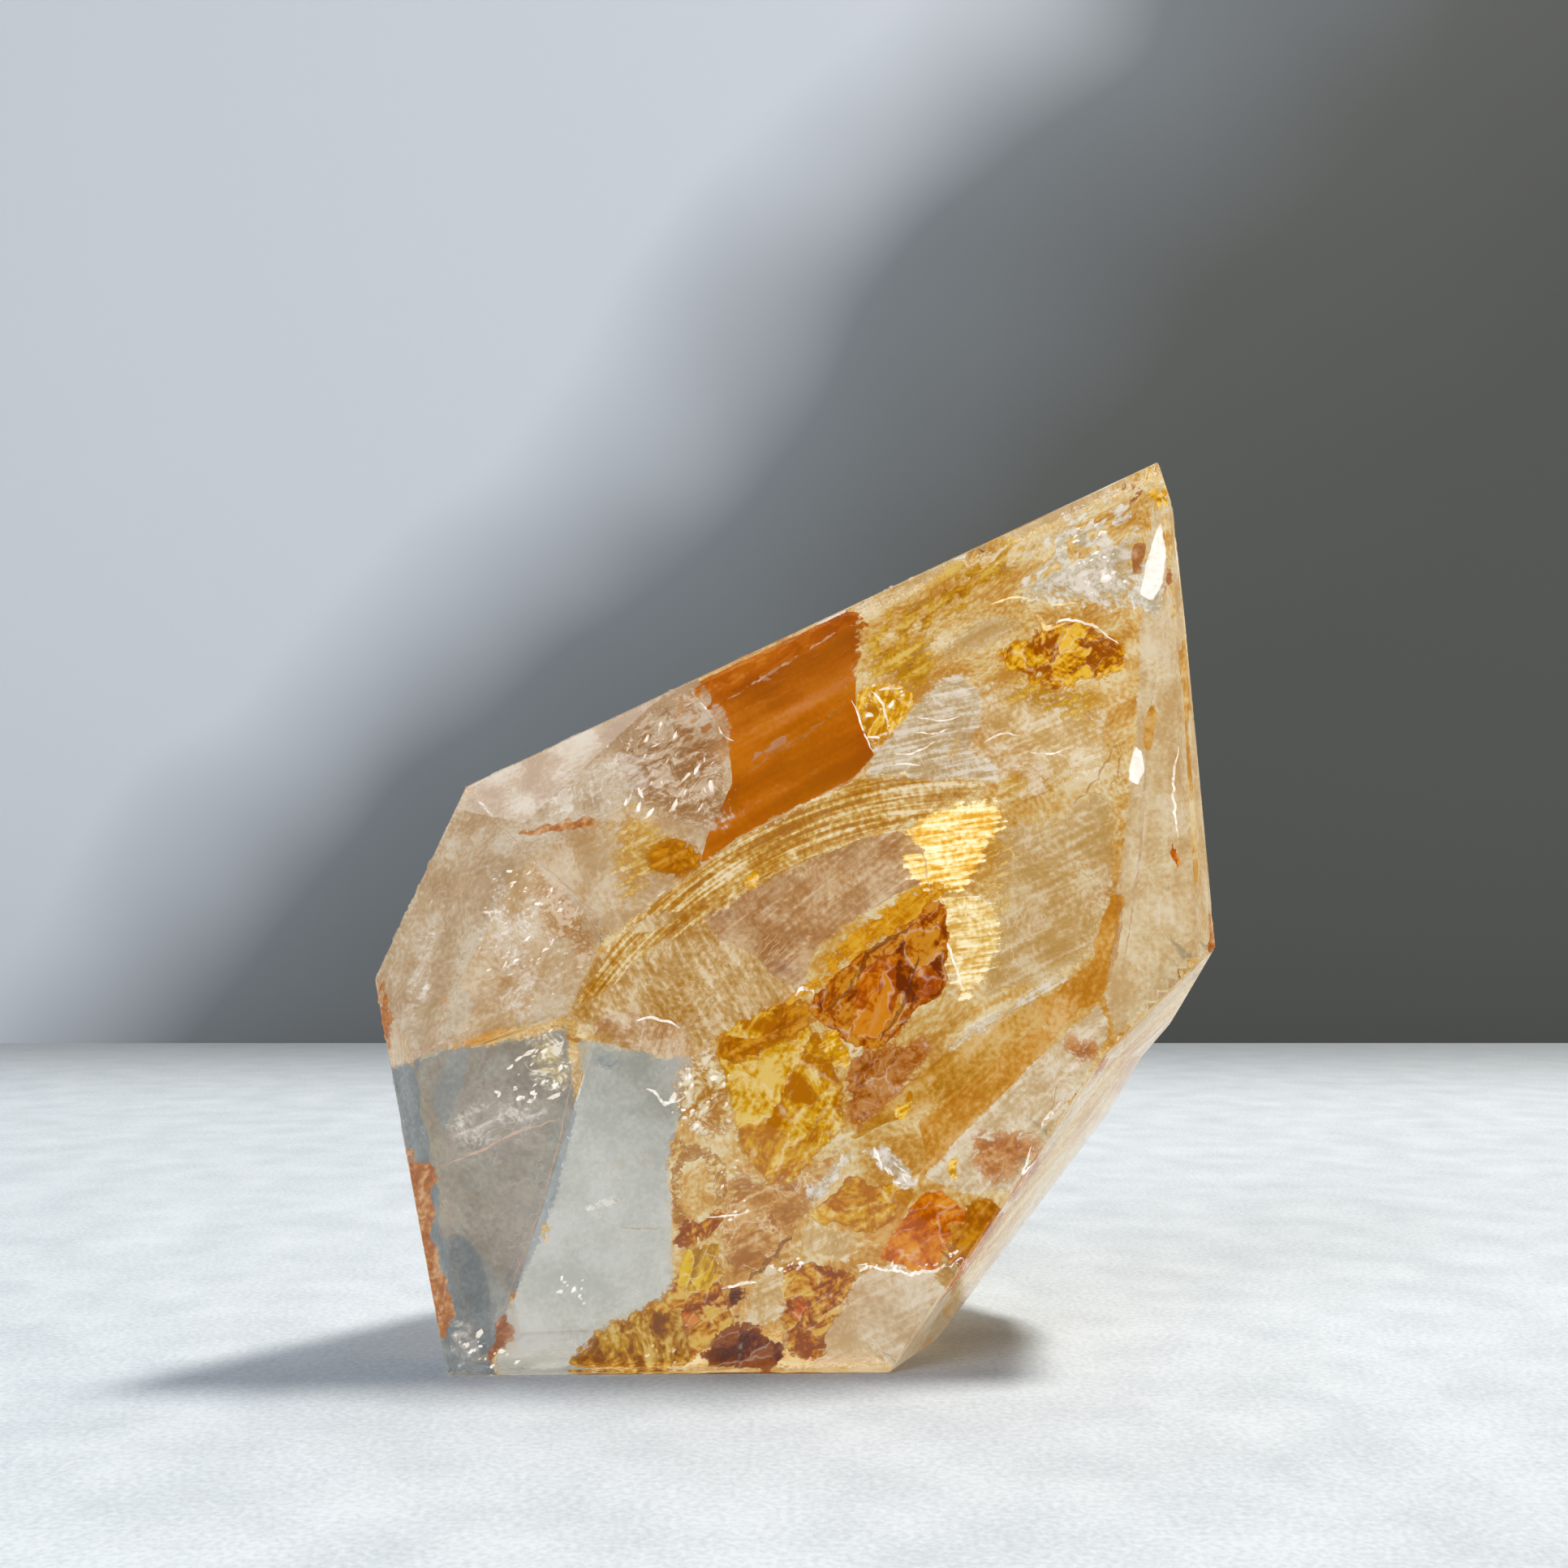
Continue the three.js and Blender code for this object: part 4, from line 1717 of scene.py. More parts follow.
    def pieces(self) -> Pieces:
        """What lies in the region, deepest first."""
        ripple = {"heading": 8, "ripple": 0.14, "wavelength": 0.9}
        return [
            Sheet("leaf_cream", self.cream, CREAM, 9, fade=3.0, heading=25),
            Sheet("leaf_grey", self.grey, GREY_FIELD, 9, fade=2.0),
            Sheet("grey_ripples", self.grey_ripples, RIPPLE_GREY, 8, fade=1.2, heading=12),
            Sheet("yellow_patch_one", self.yellow_one, GOLD, 7.5, fade=2.0),
            Sheet("yellow_patch_two", self.yellow_two, GOLD, 7.5, fade=2.0),
            Sheet("yellow_patch_three", self.yellow_three, GOLD, 7.5, fade=2.0),
            Sheet("yellow_patch_four", self.yellow_four, GOLD, 7.5, fade=2.5),
            Sheet("leaf_halo", self.halo, GOLD, 7.5, fade=3.5),
            Sheet("leaf_blade", self.blade, LEAF, 5.5, fade=0.8, heading=-60, slope=(0.05, 0.0)),
            Sheet("leaf_blade_foot", self.blade_foot, BLADE_FOOT, 5, fade=1.8, heading=80),
            Sheet("leaf_mauve", self.mauve, MAUVE, 5.2, fade=0.7, heading=38),
            Sheet("plum_patch", self.plum, PLUM, 5, fade=1.8, cell=0.4),
            Sheet("plum_patch_low", self.plum_low, PLUM, 5, fade=1.6, cell=0.4),
            Sheet("leaf_rim", self.rim, FLOW, 4.6, fade=0.9, centre=self.arc_centre, cell=0.5),
            # gleam_high and gleam_low are rippled cracks whose brightness is a painted reflection.
            Sheet("gleam_high", self.gleam_high, RIPPLE, 6, fade=1.6, cell=0.4, **ripple),
            Sheet("gleam_low", self.gleam_low, RIPPLE_PALE, 6, fade=1.6, cell=0.4, **ripple),
            Crack("gleam_edge", self.gleam_edge, PEACH_GLEAM, 5.5, width=0.3, wander=0.2),
            Crack("gleam_edge_low", self.gleam_edge_low, WHITE_GLEAM, 5.5, width=0.25),
            Sheet("leaf_fleck", self.fleck, BRIGHT, 4, fade=0.3, cell=0.25),
            Glints(
                "leaf_comb", self.comb, PEACH_GLEAM, 4.5, count=22, size=(0.1, 0.2),
                heading=75, stretch=6.0, seed=6,
            ),
            Crack("leaf_reflection", self.reflection, WHITE_GLEAM, 4.5, width=0.35, wander=0.2),
            *self._ripples(),
            *self._whorls(),
            *self._scratches(),
            Crack("leaf_upper_rim", self.upper_rim, PEACH_GLEAM, 4.2, width=0.22, wander=0.08),
        ]


@dataclass
class GoldHeart(Region):
    """The red-orange flame and the round gold mass in the middle."""

    fringe: Outline = (
        (-7.5, 27.8), (-2.5, 31.2), (1, 33), (4, 37), (8, 40), (11, 41.2), (14, 41.6), (13, 38.5),
        (9, 36.5), (5, 34.8), (1, 31), (-3, 29.6),
    )
    flame: Outline = (
        (1, 31), (4, 34), (6, 35.3), (10, 37.8), (12.6, 40), (13, 38), (12.8, 35), (12.5, 31.2),
        (10, 30.2), (8, 27.2), (5, 26.8), (3.3, 28), (1.3, 29.8),
    )
    lobe: Outline = ((5, 34), (8.8, 35), (8.7, 31.5), (8, 29), (6.6, 27.5), (4.6, 27.8), (4.8, 30))
    lobe_right: Outline = ((10, 34), (12.3, 34), (12.4, 31.2), (10.2, 30.6))
    crease: Outline = ((2, 29.6), (4.5, 32), (6, 35), (10.4, 37.7))
    crease_two: Outline = ((10.4, 34.8), (9.4, 31.5), (8.4, 29.4), (6.8, 27.3))
    cream_wedge: Outline = ((12.7, 36.3), (14.2, 33.5), (14, 31.2), (12.6, 31), (12.7, 33.5))
    under: Outline = (
        (3.8, 25.6), (5, 26.9), (8, 27.2), (11.2, 27.8), (10.8, 25.4), (8, 22.8), (5, 19.8),
        (3.7, 21.3),
    )
    mass: Outline = (
        (-7.5, 28), (-4, 30), (0, 29.8), (2, 27.5), (3.5, 24.6), (4, 22.5), (3.5, 20.5), (2, 18.9),
        (0, 16), (-2.3, 15.3), (-4.8, 18), (-5.5, 21), (-6.3, 24.5),
    )
    band: Outline = ((-7.5, 27.8), (-3, 30.5), (0.8, 31.3), (1, 28.5), (-3, 27), (-6, 25.3))
    nugget: Outline = ((1.3, 28.2), (3, 28.6), (4.6, 27), (4.2, 25.2), (2.7, 25.3))
    mottled: Outline = (
        (-9.5, 26.3), (-7, 27.3), (-5, 26), (-5, 21), (-6.3, 18.8), (-9, 19.3), (-10.8, 21.5),
        (-11, 24),
    )
    web: Outline = (
        (-11.4, 20), (-9.5, 19.2), (-6.3, 18.3), (-5.8, 15.5), (-6.6, 13.4), (-7.6, 13.2), (-7.3, 15.2),
        (-7.7, 16.8), (-8.8, 17.7), (-9.8, 17), (-10.2, 15), (-9.6, 13.3), (-8.7, 12.8), (-9.5, 11.8),
        (-11.2, 12.2),
    )
    swirl: Outline = (
        (-11, 12.6), (-8.5, 13), (-6.6, 14), (-6.3, 12), (-7.2, 11), (-9.4, 10.6), (-10.8, 9.6),
    )
    pink: Outline = (
        (-6, 18), (-2.5, 15.8), (0, 16.6), (2, 18.6), (4.5, 20), (3, 16.5), (1, 13), (-2, 11), (-6, 9),
        (-7, 12.5),
    )
    milk_fan: Outline = ((0.4, 15.5), (3.2, 17.4), (5.2, 19.6), (4.4, 17.6), (1.4, 13.2), (0.2, 13.6))
    rim_spark: Outline = ((-0.4, 31.3), (0.6, 32), (1.4, 31.4))
    hem: Outline = ((-13, 23.6), (-12, 22.6), (-10.6, 22.2), (-9.6, 22.9))
    sparks: Outline = ((-9.5, 26), (-6, 25), (-6, 20), (-9, 19.5), (-12, 22))
    low_sparks: Outline = ((-7, 16.5), (-5.6, 18.5), (-4, 13), (-6, 12))

    def pieces(self) -> Pieces:
        """What lies in the region, deepest first."""
        return [
            Sheet("pink_heart", self.pink, PINK_HEART, 9, fade=2.2),
            Sheet("mottled_heart", self.mottled, MOTTLE, 8, fade=2.0),
            Sheet("rust_under_flame", self.under, UNDER, 8.5, fade=1.6, heading=40),
            Sheet("gold_mass", self.mass, GOLD_MASS, 7, fade=1.2, heading=60),
            Sheet("gold_band", self.band, GOLD_DEEP, 6.6, fade=1.8, heading=28),
            Sheet("gold_nugget", self.nugget, BRIGHT, 6.5, fade=0.9, cell=0.4),
            Sheet("orange_fringe", self.fringe, FRINGE, 6, fade=1.6, heading=40, ragged=0.8),
            Sheet("red_flame", self.flame, FLAME, 5.5, fade=0.8, heading=50),
            Sheet("flame_lobe", self.lobe, LOBE, 5.2, fade=0.9, heading=60, ragged=0.4),
            Sheet("flame_lobe_right", self.lobe_right, LOBE, 5.2, fade=0.9, ragged=0.5),
            Sheet("flame_wedge", self.cream_wedge, CREAM, 6, fade=1.0, cell=0.4),
            Crack("flame_crease", self.crease, BROWN_LINE, 5, width=0.7, wander=0.3),
            Crack("flame_crease_two", self.crease_two, BROWN_LINE, 5, width=0.5, wander=0.3),
            Sheet("amber_web", self.web, AMBER_WEB, 6.5, fade=0.9, cell=0.4, ragged=0.3),
            Sheet("amber_swirl", self.swirl, AMBER, 6, fade=1.0, cell=0.4),
            Sheet("milk_fan", self.milk_fan, TIP, 6, fade=1.2, cell=0.4, heading=70),
            Crack("heart_rim_spark", self.rim_spark, WHITE_GLEAM, 5, width=0.4, wander=0.3),
            Crack("heart_hem", self.hem, WHITE_GLEAM, 6, width=0.4, wander=0.4),
            Glints("heart_sparks", self.sparks, WHITE_GLEAM, 6, count=30, size=(0.08, 0.3), seed=7),
            Glints("low_sparks", self.low_sparks, WHITE_GLEAM, 5.5, count=10, size=(0.1, 0.25), seed=8),
        ]


@dataclass
class LowerBands(Region):
    """Straight-edged orange bands and cream blocks above the overhang."""

    upper_band: Outline = (
        (3.8, 19), (8, 22.8), (11, 25.2), (15, 28), (20.5, 30.6), (22.5, 30), (20, 27.8), (16.3, 25.2),
        (13, 22.7), (9.5, 21.4), (7, 20.4),
    )
    lower_band: Outline = (
        (9.8, 15.3), (10.8, 17.5), (10.2, 20.6), (13, 22.6), (16.2, 25.1), (20.5, 28.5), (22.5, 27.7),
        (20, 25.4), (15, 20.6),
    )
    bright_bit: Outline = ((8, 21), (9.3, 23.5), (9.9, 23), (9.2, 20.8))
    right_band: Outline = (
        (20.5, 30.6), (25.5, 33.8), (27.4, 40), (28.4, 40), (27.6, 36), (26.6, 31.5), (24, 29.6),
        (22, 28.4),
    )
    milk_edge: Outline = ((15, 28.6), (20, 31.6), (24.5, 33.4), (20, 30.4), (15, 27.8), (11, 25.6))
    cream: Outline = (
        (10.5, 16), (15, 20.5), (20, 25.3), (22.6, 27.6), (26.2, 30.6), (27, 28), (23.8, 23),
        (20.5, 18), (18, 14.8), (14, 14.6),
    )
    cream_stain: Outline = (
        (14.8, 19.6), (18.5, 19.5), (20.5, 19), (18.5, 16.3), (16, 15.5), (15, 17.5),
    )
    sun: Outline = ((12.3, 17.6), (13.6, 17.4), (13.6, 15.6), (12.5, 15.8))
    knot: Outline = ((22.6, 27.2), (25.8, 27.6), (25.4, 25.4), (24, 25.4))
    shard: Outline = ((5.3, 18.4), (7, 18.9), (9.5, 17), (10.2, 15.2), (9, 15), (7.5, 16))
    triangle: Outline = (
        (1, 12.7), (4.3, 16.2), (6, 15.5), (9.5, 15.1), (7.6, 12.6), (5.2, 11.4), (3, 12.3),
    )
    triangle_face: Outline = ((1, 12.7), (4.2, 16.1), (4.8, 14.2), (3.6, 12.3), (2.4, 12.5))
    diamond: Outline = (
        (7.6, 10.8), (9, 13), (10.5, 14.7), (12, 14.8), (13.5, 13.7), (14.6, 12.7), (13, 11.3),
        (12, 9.8), (11.6, 8.2), (10, 8.3), (8, 8.9), (6.3, 9.1),
    )
    gold_step: Outline = (
        (12.4, 10), (14.6, 12.6), (13.8, 14), (17.6, 14.2), (16, 11.3), (14.4, 9), (12.2, 8.3),
    )
    stripes: Outline = ((7.2, 10.5), (9.8, 14.7), (8.4, 15), (6.2, 12.2), (5.4, 11.2))
    hem: Outline = ((4.8, 8.9), (7, 8.6), (9.5, 8.1), (12, 8.4), (14, 9.4))
    glare: Outline = ((20.9, 19.9), (22, 21.6), (23, 22.2))
    glare_low: Outline = ((18.4, 15), (19, 15.8), (20.1, 18.6))
    branch_one: Outline = ((16, 20.5), (17.6, 18.6), (17.5, 16.6), (16.3, 14.8))
    branch_two: Outline = ((17.6, 18.6), (19.6, 19.4), (22, 21.6), (22.6, 24))
    streaks: Outline = ((6, 18.6), (8, 17.6), (9.8, 15.4), (8.6, 15.2), (6.6, 16.8))
    hem_sparks: Outline = ((4.8, 9.3), (9, 8.7), (13.8, 10), (14, 9), (9.5, 7.7), (5, 8.4))

    def pieces(self) -> Pieces:
        """What lies in the region, deepest first."""
        crisp = {"curved": False, "ragged": 0.1, "heading": 42}
        return [
            Sheet("lower_cream", self.cream, LOWER_CREAM, 6.5, fade=0.6, **crisp),
            Sheet("cream_stain", self.cream_stain, RUST, 5.5, fade=2.4),
            Sheet("cream_knot", self.knot, RUST, 4, fade=2.0, cell=0.4),
            Sheet("milk_edge", self.milk_edge, RIPPLE_GREY, 8, fade=1.0, heading=30, cell=0.4),
            Sheet("upper_band", self.upper_band, BAND_UPPER, 9, fade=0.3, **crisp),
            Sheet("lower_band", self.lower_band, BAND, 8.5, fade=0.3, **crisp),
            Sheet("right_band", self.right_band, BAND, 6, fade=0.6, heading=70, curved=False),
            Sheet("band_bright_bit", self.bright_bit, BRIGHT, 7, fade=0.3, cell=0.3),
            Sheet("gold_step", self.gold_step, GOLD_DEEP, 4, fade=0.9, cell=0.4, heading=45),
            Sheet("striped_bit", self.stripes, BAND, 6, fade=0.4, cell=0.35, **crisp),
            Sheet("orange_triangle", self.triangle, GOLD_MASS, 6.5, fade=0.7, curved=False, cell=0.4),
            Sheet("triangle_face", self.triangle_face, DIAMOND, 6, fade=0.3, curved=False, cell=0.35),
            Sheet("orange_diamond", self.diamond, DIAMOND, 5, fade=0.8, curved=False, ragged=0.3),
            Sheet("pink_shard", self.shard, TIP, 5.5, fade=0.7, curved=False, cell=0.35),
            Sheet("sun_bit", self.sun, BRIGHT, 5, fade=1.0, cell=0.3),
            Crack("band_hem", self.hem, WHITE_GLEAM, 4.4, width=0.35, wander=0.45),
            Crack("cream_glare", self.glare, WHITE_GLEAM, 2, width=0.5, wander=0.3),
            Crack("cream_glare_low", self.glare_low, WHITE_GLEAM, 1.5, width=0.25, wander=0.3),
            Crack("branch_one", self.branch_one, AMBER_GLEAM, 4, width=0.16, wander=0.5),
            Crack("branch_two", self.branch_two, AMBER_GLEAM, 4, width=0.16, wander=0.5),
            Glints(
                "shard_streaks", self.streaks, WHITE_GLEAM, 5, count=12, size=(0.1, 0.2),
                heading=-50, stretch=5.0, seed=9,
            ),
            Glints("hem_sparks", self.hem_sparks, WHITE_GLEAM, 4, count=26, size=(0.07, 0.2), seed=10),
        ]


@dataclass
class FootStains(Region):
    """Gold dome, amber and brown stain round the foot."""

    dome_centre: Point2 = (-12, -4)
    dome: Outline = (
        (-19.7, 0.6), (-17.5, 2.8), (-15.5, 4.5), (-13, 5.4), (-10.6, 5.8), (-9.8, 3.5), (-8.6, 0.6),
    )
    amber: Outline = (
        (-14, 5.3), (-11, 6.6), (-9.6, 9.8), (-6.8, 10.2), (-6.3, 7), (-5, 4.4), (-8, 2.6), (-9.6, 0.8),
        (-11, 3.6),
    )
    yellow: Outline = (
        (-9.9, 10), (-8.5, 10.6), (-7, 11.2), (-6.6, 9), (-7.4, 7.2), (-9.4, 6.4), (-10.1, 8),
    )
    ember: Outline = ((-10.5, 5.2), (-9.4, 5.8), (-8.3, 5), (-8.8, 3.8), (-10, 3.9))
    brown: Outline = ((-9, 0.6), (-7, 3), (-5, 4.3), (-2.5, 3.5), (-0.9, 1.6), (0, 0.6))
    brown_knot: Outline = ((-6.4, 6.8), (-4.4, 7.6), (-4.2, 6), (-5.4, 4.8), (-6.4, 5.4))
    rosy: Outline = (
        (-7, 13.3), (-4.4, 14), (-1, 12.2), (0.8, 12.6), (-2.4, 9.6), (-4.4, 7.6), (-6.4, 8),
    )
    chunk: Outline = ((-5, 6), (-3, 9), (-1.3, 8.8), (-1, 6), (-2, 4), (-4.4, 4))
    gold: Outline = (
        (-2.2, 9), (1, 9.4), (5, 8.2), (4, 6), (2.6, 4.6), (2.2, 1.6), (0, 0.6), (-1.2, 2), (-2, 5),
    )
    hot_spot: Outline = ((-1.2, 6.4), (0.2, 6.8), (1, 5.4), (0.2, 4.2), (-1, 4.6))
    pale_block: Outline = ((0.8, 12.6), (3.4, 12), (5, 11), (4.6, 9), (1, 9.5), (-0.6, 10.4))
    cream: Outline = (
        (2.4, 4.8), (5, 8.2), (8, 9), (11, 8.4), (12.3, 6), (12.4, 4), (10.3, 1.8), (8.2, 0.6),
        (0.5, 0.6), (2, 2.6),
    )
    brown_strip: Outline = ((-0.6, 11.4), (-2.4, 9.4), (-4.6, 7.6))
    hem_line: Outline = ((-6.6, 7), (-5, 7.4), (-3.6, 7.4))
    cross_line: Outline = ((-8, 12.8), (-5.6, 13), (-4, 13.3))
    sparks: Outline = ((-2.5, 9.2), (1.5, 9.6), (1.2, 8.6), (-2.2, 8.2))
    dome_sparks: Outline = ((-14, 1), (-12, 3.4), (-10.4, 2), (-11, 0.8))

    def pieces(self) -> Pieces:
        """What lies in the region, deepest first."""
        tight = {"fade": 1.0, "cell": 0.4}
        return [
            Sheet("cream_foot", self.cream, FOOT_CREAM, 6, fade=0.5, curved=False),
            Sheet("gold_foot", self.gold, AMBER, 6, **tight),
            Sheet("rosy_bit", self.rosy, PINK_HEART, 6.5, **tight),
            Sheet("pale_block", self.pale_block, CREAM, 6.4, **tight),
            Sheet("amber_foot", self.amber, AMBER, 6, **tight),
            Sheet("yellow_bit", self.yellow, BRIGHT_YELLOW, 5.5, heading=70, **tight),
            Sheet("gold_dome", self.dome, DOME, 5, centre=self.dome_centre, **tight),
            Sheet("cream_chunk", self.chunk, CREAM, 5.4, **tight),
            Sheet("brown_foot", self.brown, BROWN, 3.5, **tight),
            Sheet("brown_knot", self.brown_knot, BROWN, 4.5, **tight),
            Sheet("ember_spot", self.ember, EMBER, 4.8, fade=1.0, cell=0.3),
            Sheet("hot_spot", self.hot_spot, EMBER, 5, fade=1.0, cell=0.3),
            Crack("foot_strip", self.brown_strip, BROWN_LINE, 5, width=0.6, wander=0.3),
            Crack("foot_hem", self.hem_line, WHITE_GLEAM, 4, width=0.35, wander=0.3),
            Crack("cross_line", self.cross_line, WHITE_GLEAM, 4.5, width=0.22, wander=0.2),
            Glints("foot_sparks", self.sparks, WHITE_GLEAM, 4.5, count=14, size=(0.08, 0.22), seed=11),
            Glints("dome_sparks", self.dome_sparks, GOLD_GLEAM, 4, count=6, size=(0.1, 0.25), seed=12),
        ]


@dataclass
class LeftSide(Region):
    """Milk clouds, folds and rust along the left edge, painted highlights along facet edges and on the
    upper flank, and specks in the clear part.
    """

    cloud: Outline = (
        (-29, 46), (-24, 43), (-20, 37), (-19.5, 31), (-22, 27), (-27, 29), (-29, 34), (-28, 40),
    )
    cloud_left: Outline = ((-35, 34), (-31, 44), (-28, 44), (-30, 36), (-31, 30), (-34, 27))
    fold: Outline = (
        (-25, 45.2), (-22.5, 43.5), (-19.5, 40.5), (-16, 37), (-16.6, 34.5), (-18.6, 32.6), (-20, 35),
        (-22.5, 36), (-23.5, 40),
    )
    speckle: Outline = ((-32, 32), (-29.5, 33), (-28.5, 28.5), (-31, 27.5))
    rust_edge: Outline = (
        (-33.8, 19.3), (-32.8, 17.6), (-31, 17.6), (-30.9, 14), (-31.1, 11), (-30, 8), (-29, 6),
        (-29, 4), (-30.2, 2.2), (-31.5, 8), (-32.6, 13.2),
    )
    rust_top: Outline = ((-36.4, 33), (-35.4, 32), (-34.8, 28), (-35.2, 25.6), (-35.8, 29))
    sliver: Outline = ((-25, 5.3), (-24.3, 5), (-23.9, 3.7), (-25, 1.5), (-26.1, 0.7), (-25.6, 3))
    milk_band: Outline = ((-31.5, 19.5), (-28, 23), (-22, 24), (-19.5, 22), (-22, 20.7), (-28, 17.6))
    gleam: Outline = ((-24, 28), (-21, 29), (-18.6, 25), (-20, 22.4), (-23, 24.4))
    low_glass: Outline = ((-30, 5), (-27, 6), (-25.6, 2.4), (-26.4, 0.8), (-29.6, 0.8))
    # Courses of edges of facets seen through the quartz, drawn as painted highlight lines.
    flank_facet_line: Outline = ((-35, 25.2), (-30.5, 27.5), (-27.6, 28.7))
    shoulder_line: Outline = ((-30, 50.1), (-27, 47.6), (-24.4, 44.6), (-19.6, 40.4), (-16.2, 37.2))
    band_line: Outline = ((-30.4, 17.2), (-27, 18.4), (-24.4, 19.8), (-20.6, 21))
    edge_line: Outline = ((-19, 26.6), (-20.4, 19), (-21.8, 14), (-24.8, 5.6))
    slate: Outline = ((-17.6, 27.3), (-15.2, 26.3), (-15.4, 25.2), (-17.6, 24.9))
    ochre: Outline = ((-22, 12.6), (-21, 13.2), (-20.8, 11), (-22.2, 10.6))
    tan: Outline = ((-18.6, 16.6), (-14, 18.6), (-11.6, 18.6), (-11.8, 17), (-15, 16.2))
    ice: Outline = ((-18, 13.6), (-16.4, 14.9), (-14.4, 15), (-15.4, 14), (-17.4, 13.2))
    hair: Outline = ((-15.4, 12.2), (-13.5, 12), (-11.4, 12))
    pale_sparks: Outline = ((-26, 44), (-20, 40), (-20, 27), (-24, 27), (-28, 36))
    glass_sparks: Outline = ((-24.5, 26.5), (-20, 27), (-19.5, 23), (-26, 22.4))
    clear_sparks: Outline = ((-21, 9), (-18, 9), (-18, 6), (-21, 6.6))
    foot_sparks: Outline = ((-29.4, 3.6), (-26.6, 3.6), (-23, 1), (-26, 0.9))

    def pieces(self) -> Pieces:
        """What lies in the region, deepest first."""
        small = {"fade": 0.8, "cell": 0.35}
        return [
            Sheet("milk_band", self.milk_band, MILK, 6, fade=2.4, heading=18),
            Sheet("shoulder_fold", self.fold, FOLD, 6.5, fade=2.2),
            Sheet("shoulder_cloud", self.cloud, MILK, 5, fade=5.0),
            Sheet("shoulder_cloud_left", self.cloud_left, MILK, 3, fade=3.0, heading=70),
            Sheet("shoulder_speckle", self.speckle, RUST_SPECK, 3, fade=2.0, cell=0.4),
            # flank_gleam and glass_sparks are painted reflections and glints on the upper flank.
            Sheet("flank_gleam", self.gleam, GLEAM_CLOUD, 5, fade=2.4, cell=0.4),
            Sheet("low_glass", self.low_glass, MILK, 3, fade=1.6, cell=0.4),
            Sheet("rust_edge", self.rust_edge, RUST, 1.0, heading=80, billow=0.2, **small),
            Sheet("rust_top", self.rust_top, RUST, 0.8, heading=80, billow=0.2, **small),
            Sheet("rust_sliver", self.sliver, RUST_DEEP, 2.5, heading=70, **small),
            Sheet("slate_bit", self.slate, SLATE, 6, **small),
            Sheet("ochre_bit", self.ochre, GOLD, 5, fade=1.0, cell=0.35),
            Sheet("tan_streak", self.tan, TAN, 7, fade=1.8, cell=0.4, heading=15),
            Sheet("ice_bit", self.ice, TIP, 5, **small),
            # The next four pale lines are painted highlights along facet edges seen through the quartz.
            Crack("flank_facet_line", self.flank_facet_line, PINK_GLEAM, 2, width=0.3),
            Crack("shoulder_line", self.shoulder_line, PINK_GLEAM, 5, width=0.2),
            Crack("band_line", self.band_line, PINK_GLEAM, 4, width=0.32, wander=0.2),
            Crack("edge_line", self.edge_line, PINK_GLEAM, 5, width=0.12, wander=0.05),
            Crack("brown_hair", self.hair, AMBER_GLEAM, 5, width=0.1, wander=0.3),
            Glints(
                "pale_sparks", self.pale_sparks, WHITE_GLEAM, 4, count=60, size=(0.05, 0.2),
                stretch=3.0, seed=13,
            ),
            Glints(
                "glass_sparks", self.glass_sparks, WHITE_GLEAM, 4, count=30, size=(0.06, 0.3),
                stretch=2.6, seed=14,
            ),
            Glints(
                "clear_sparks", self.clear_sparks, WHITE_GLEAM, 5, count=12, size=(0.08, 0.3),
                seed=15,
            ),
            Glints("foot_glass", self.foot_sparks, WHITE_GLEAM, 2, count=22, size=(0.08, 0.3), seed=16),
        ]


REGIONS = (
    StoneHaze,
    OrangePane,
    CrownVeils,
    Tip,
    LeafCrack,
    GoldHeart,
    LowerBands,
    FootStains,
    LeftSide,
)


# ---- the stone --------------------------------------------------------------------------


@dataclass
class ClearBody:
    """The clear lump itself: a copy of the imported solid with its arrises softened."""

    node: bpy.types.Object
    arris: float = 0.28
    arris_angle: float = 7.0

    def build(self) -> bpy.types.Object:
        """Copy the solid, merge it into whole flats and round its arrises."""
        make_active(self.node)
        bpy.ops.object.duplicate()
        piece = bpy.context.object
        rename(piece, "clear_quartz_body")
        piece.data.materials.clear()
        bpy.ops.object.mode_set(mode="EDIT")
        bpy.ops.mesh.select_all(action="SELECT")
        bpy.ops.mesh.remove_doubles(threshold=0.01 * MM)
        bpy.ops.mesh.dissolve_limited(angle_limit=math.radians(0.4))
        bpy.ops.object.mode_set(mode="OBJECT")
        make_active(piece)
        bpy.ops.object.shade_smooth()
        apply_modifier(
            piece,
            "BEVEL",
            width=self.arris * MM,
            segments=3,
            limit_method="ANGLE",
            angle_limit=math.radians(self.arris_angle),
            harden_normals=True,
        )
        piece.data.materials.append(ClearQuartz().material())
        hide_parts(STONE_NODE)
        adopt(piece)
        return piece


# ---- studio -----------------------------------------------------------------------------


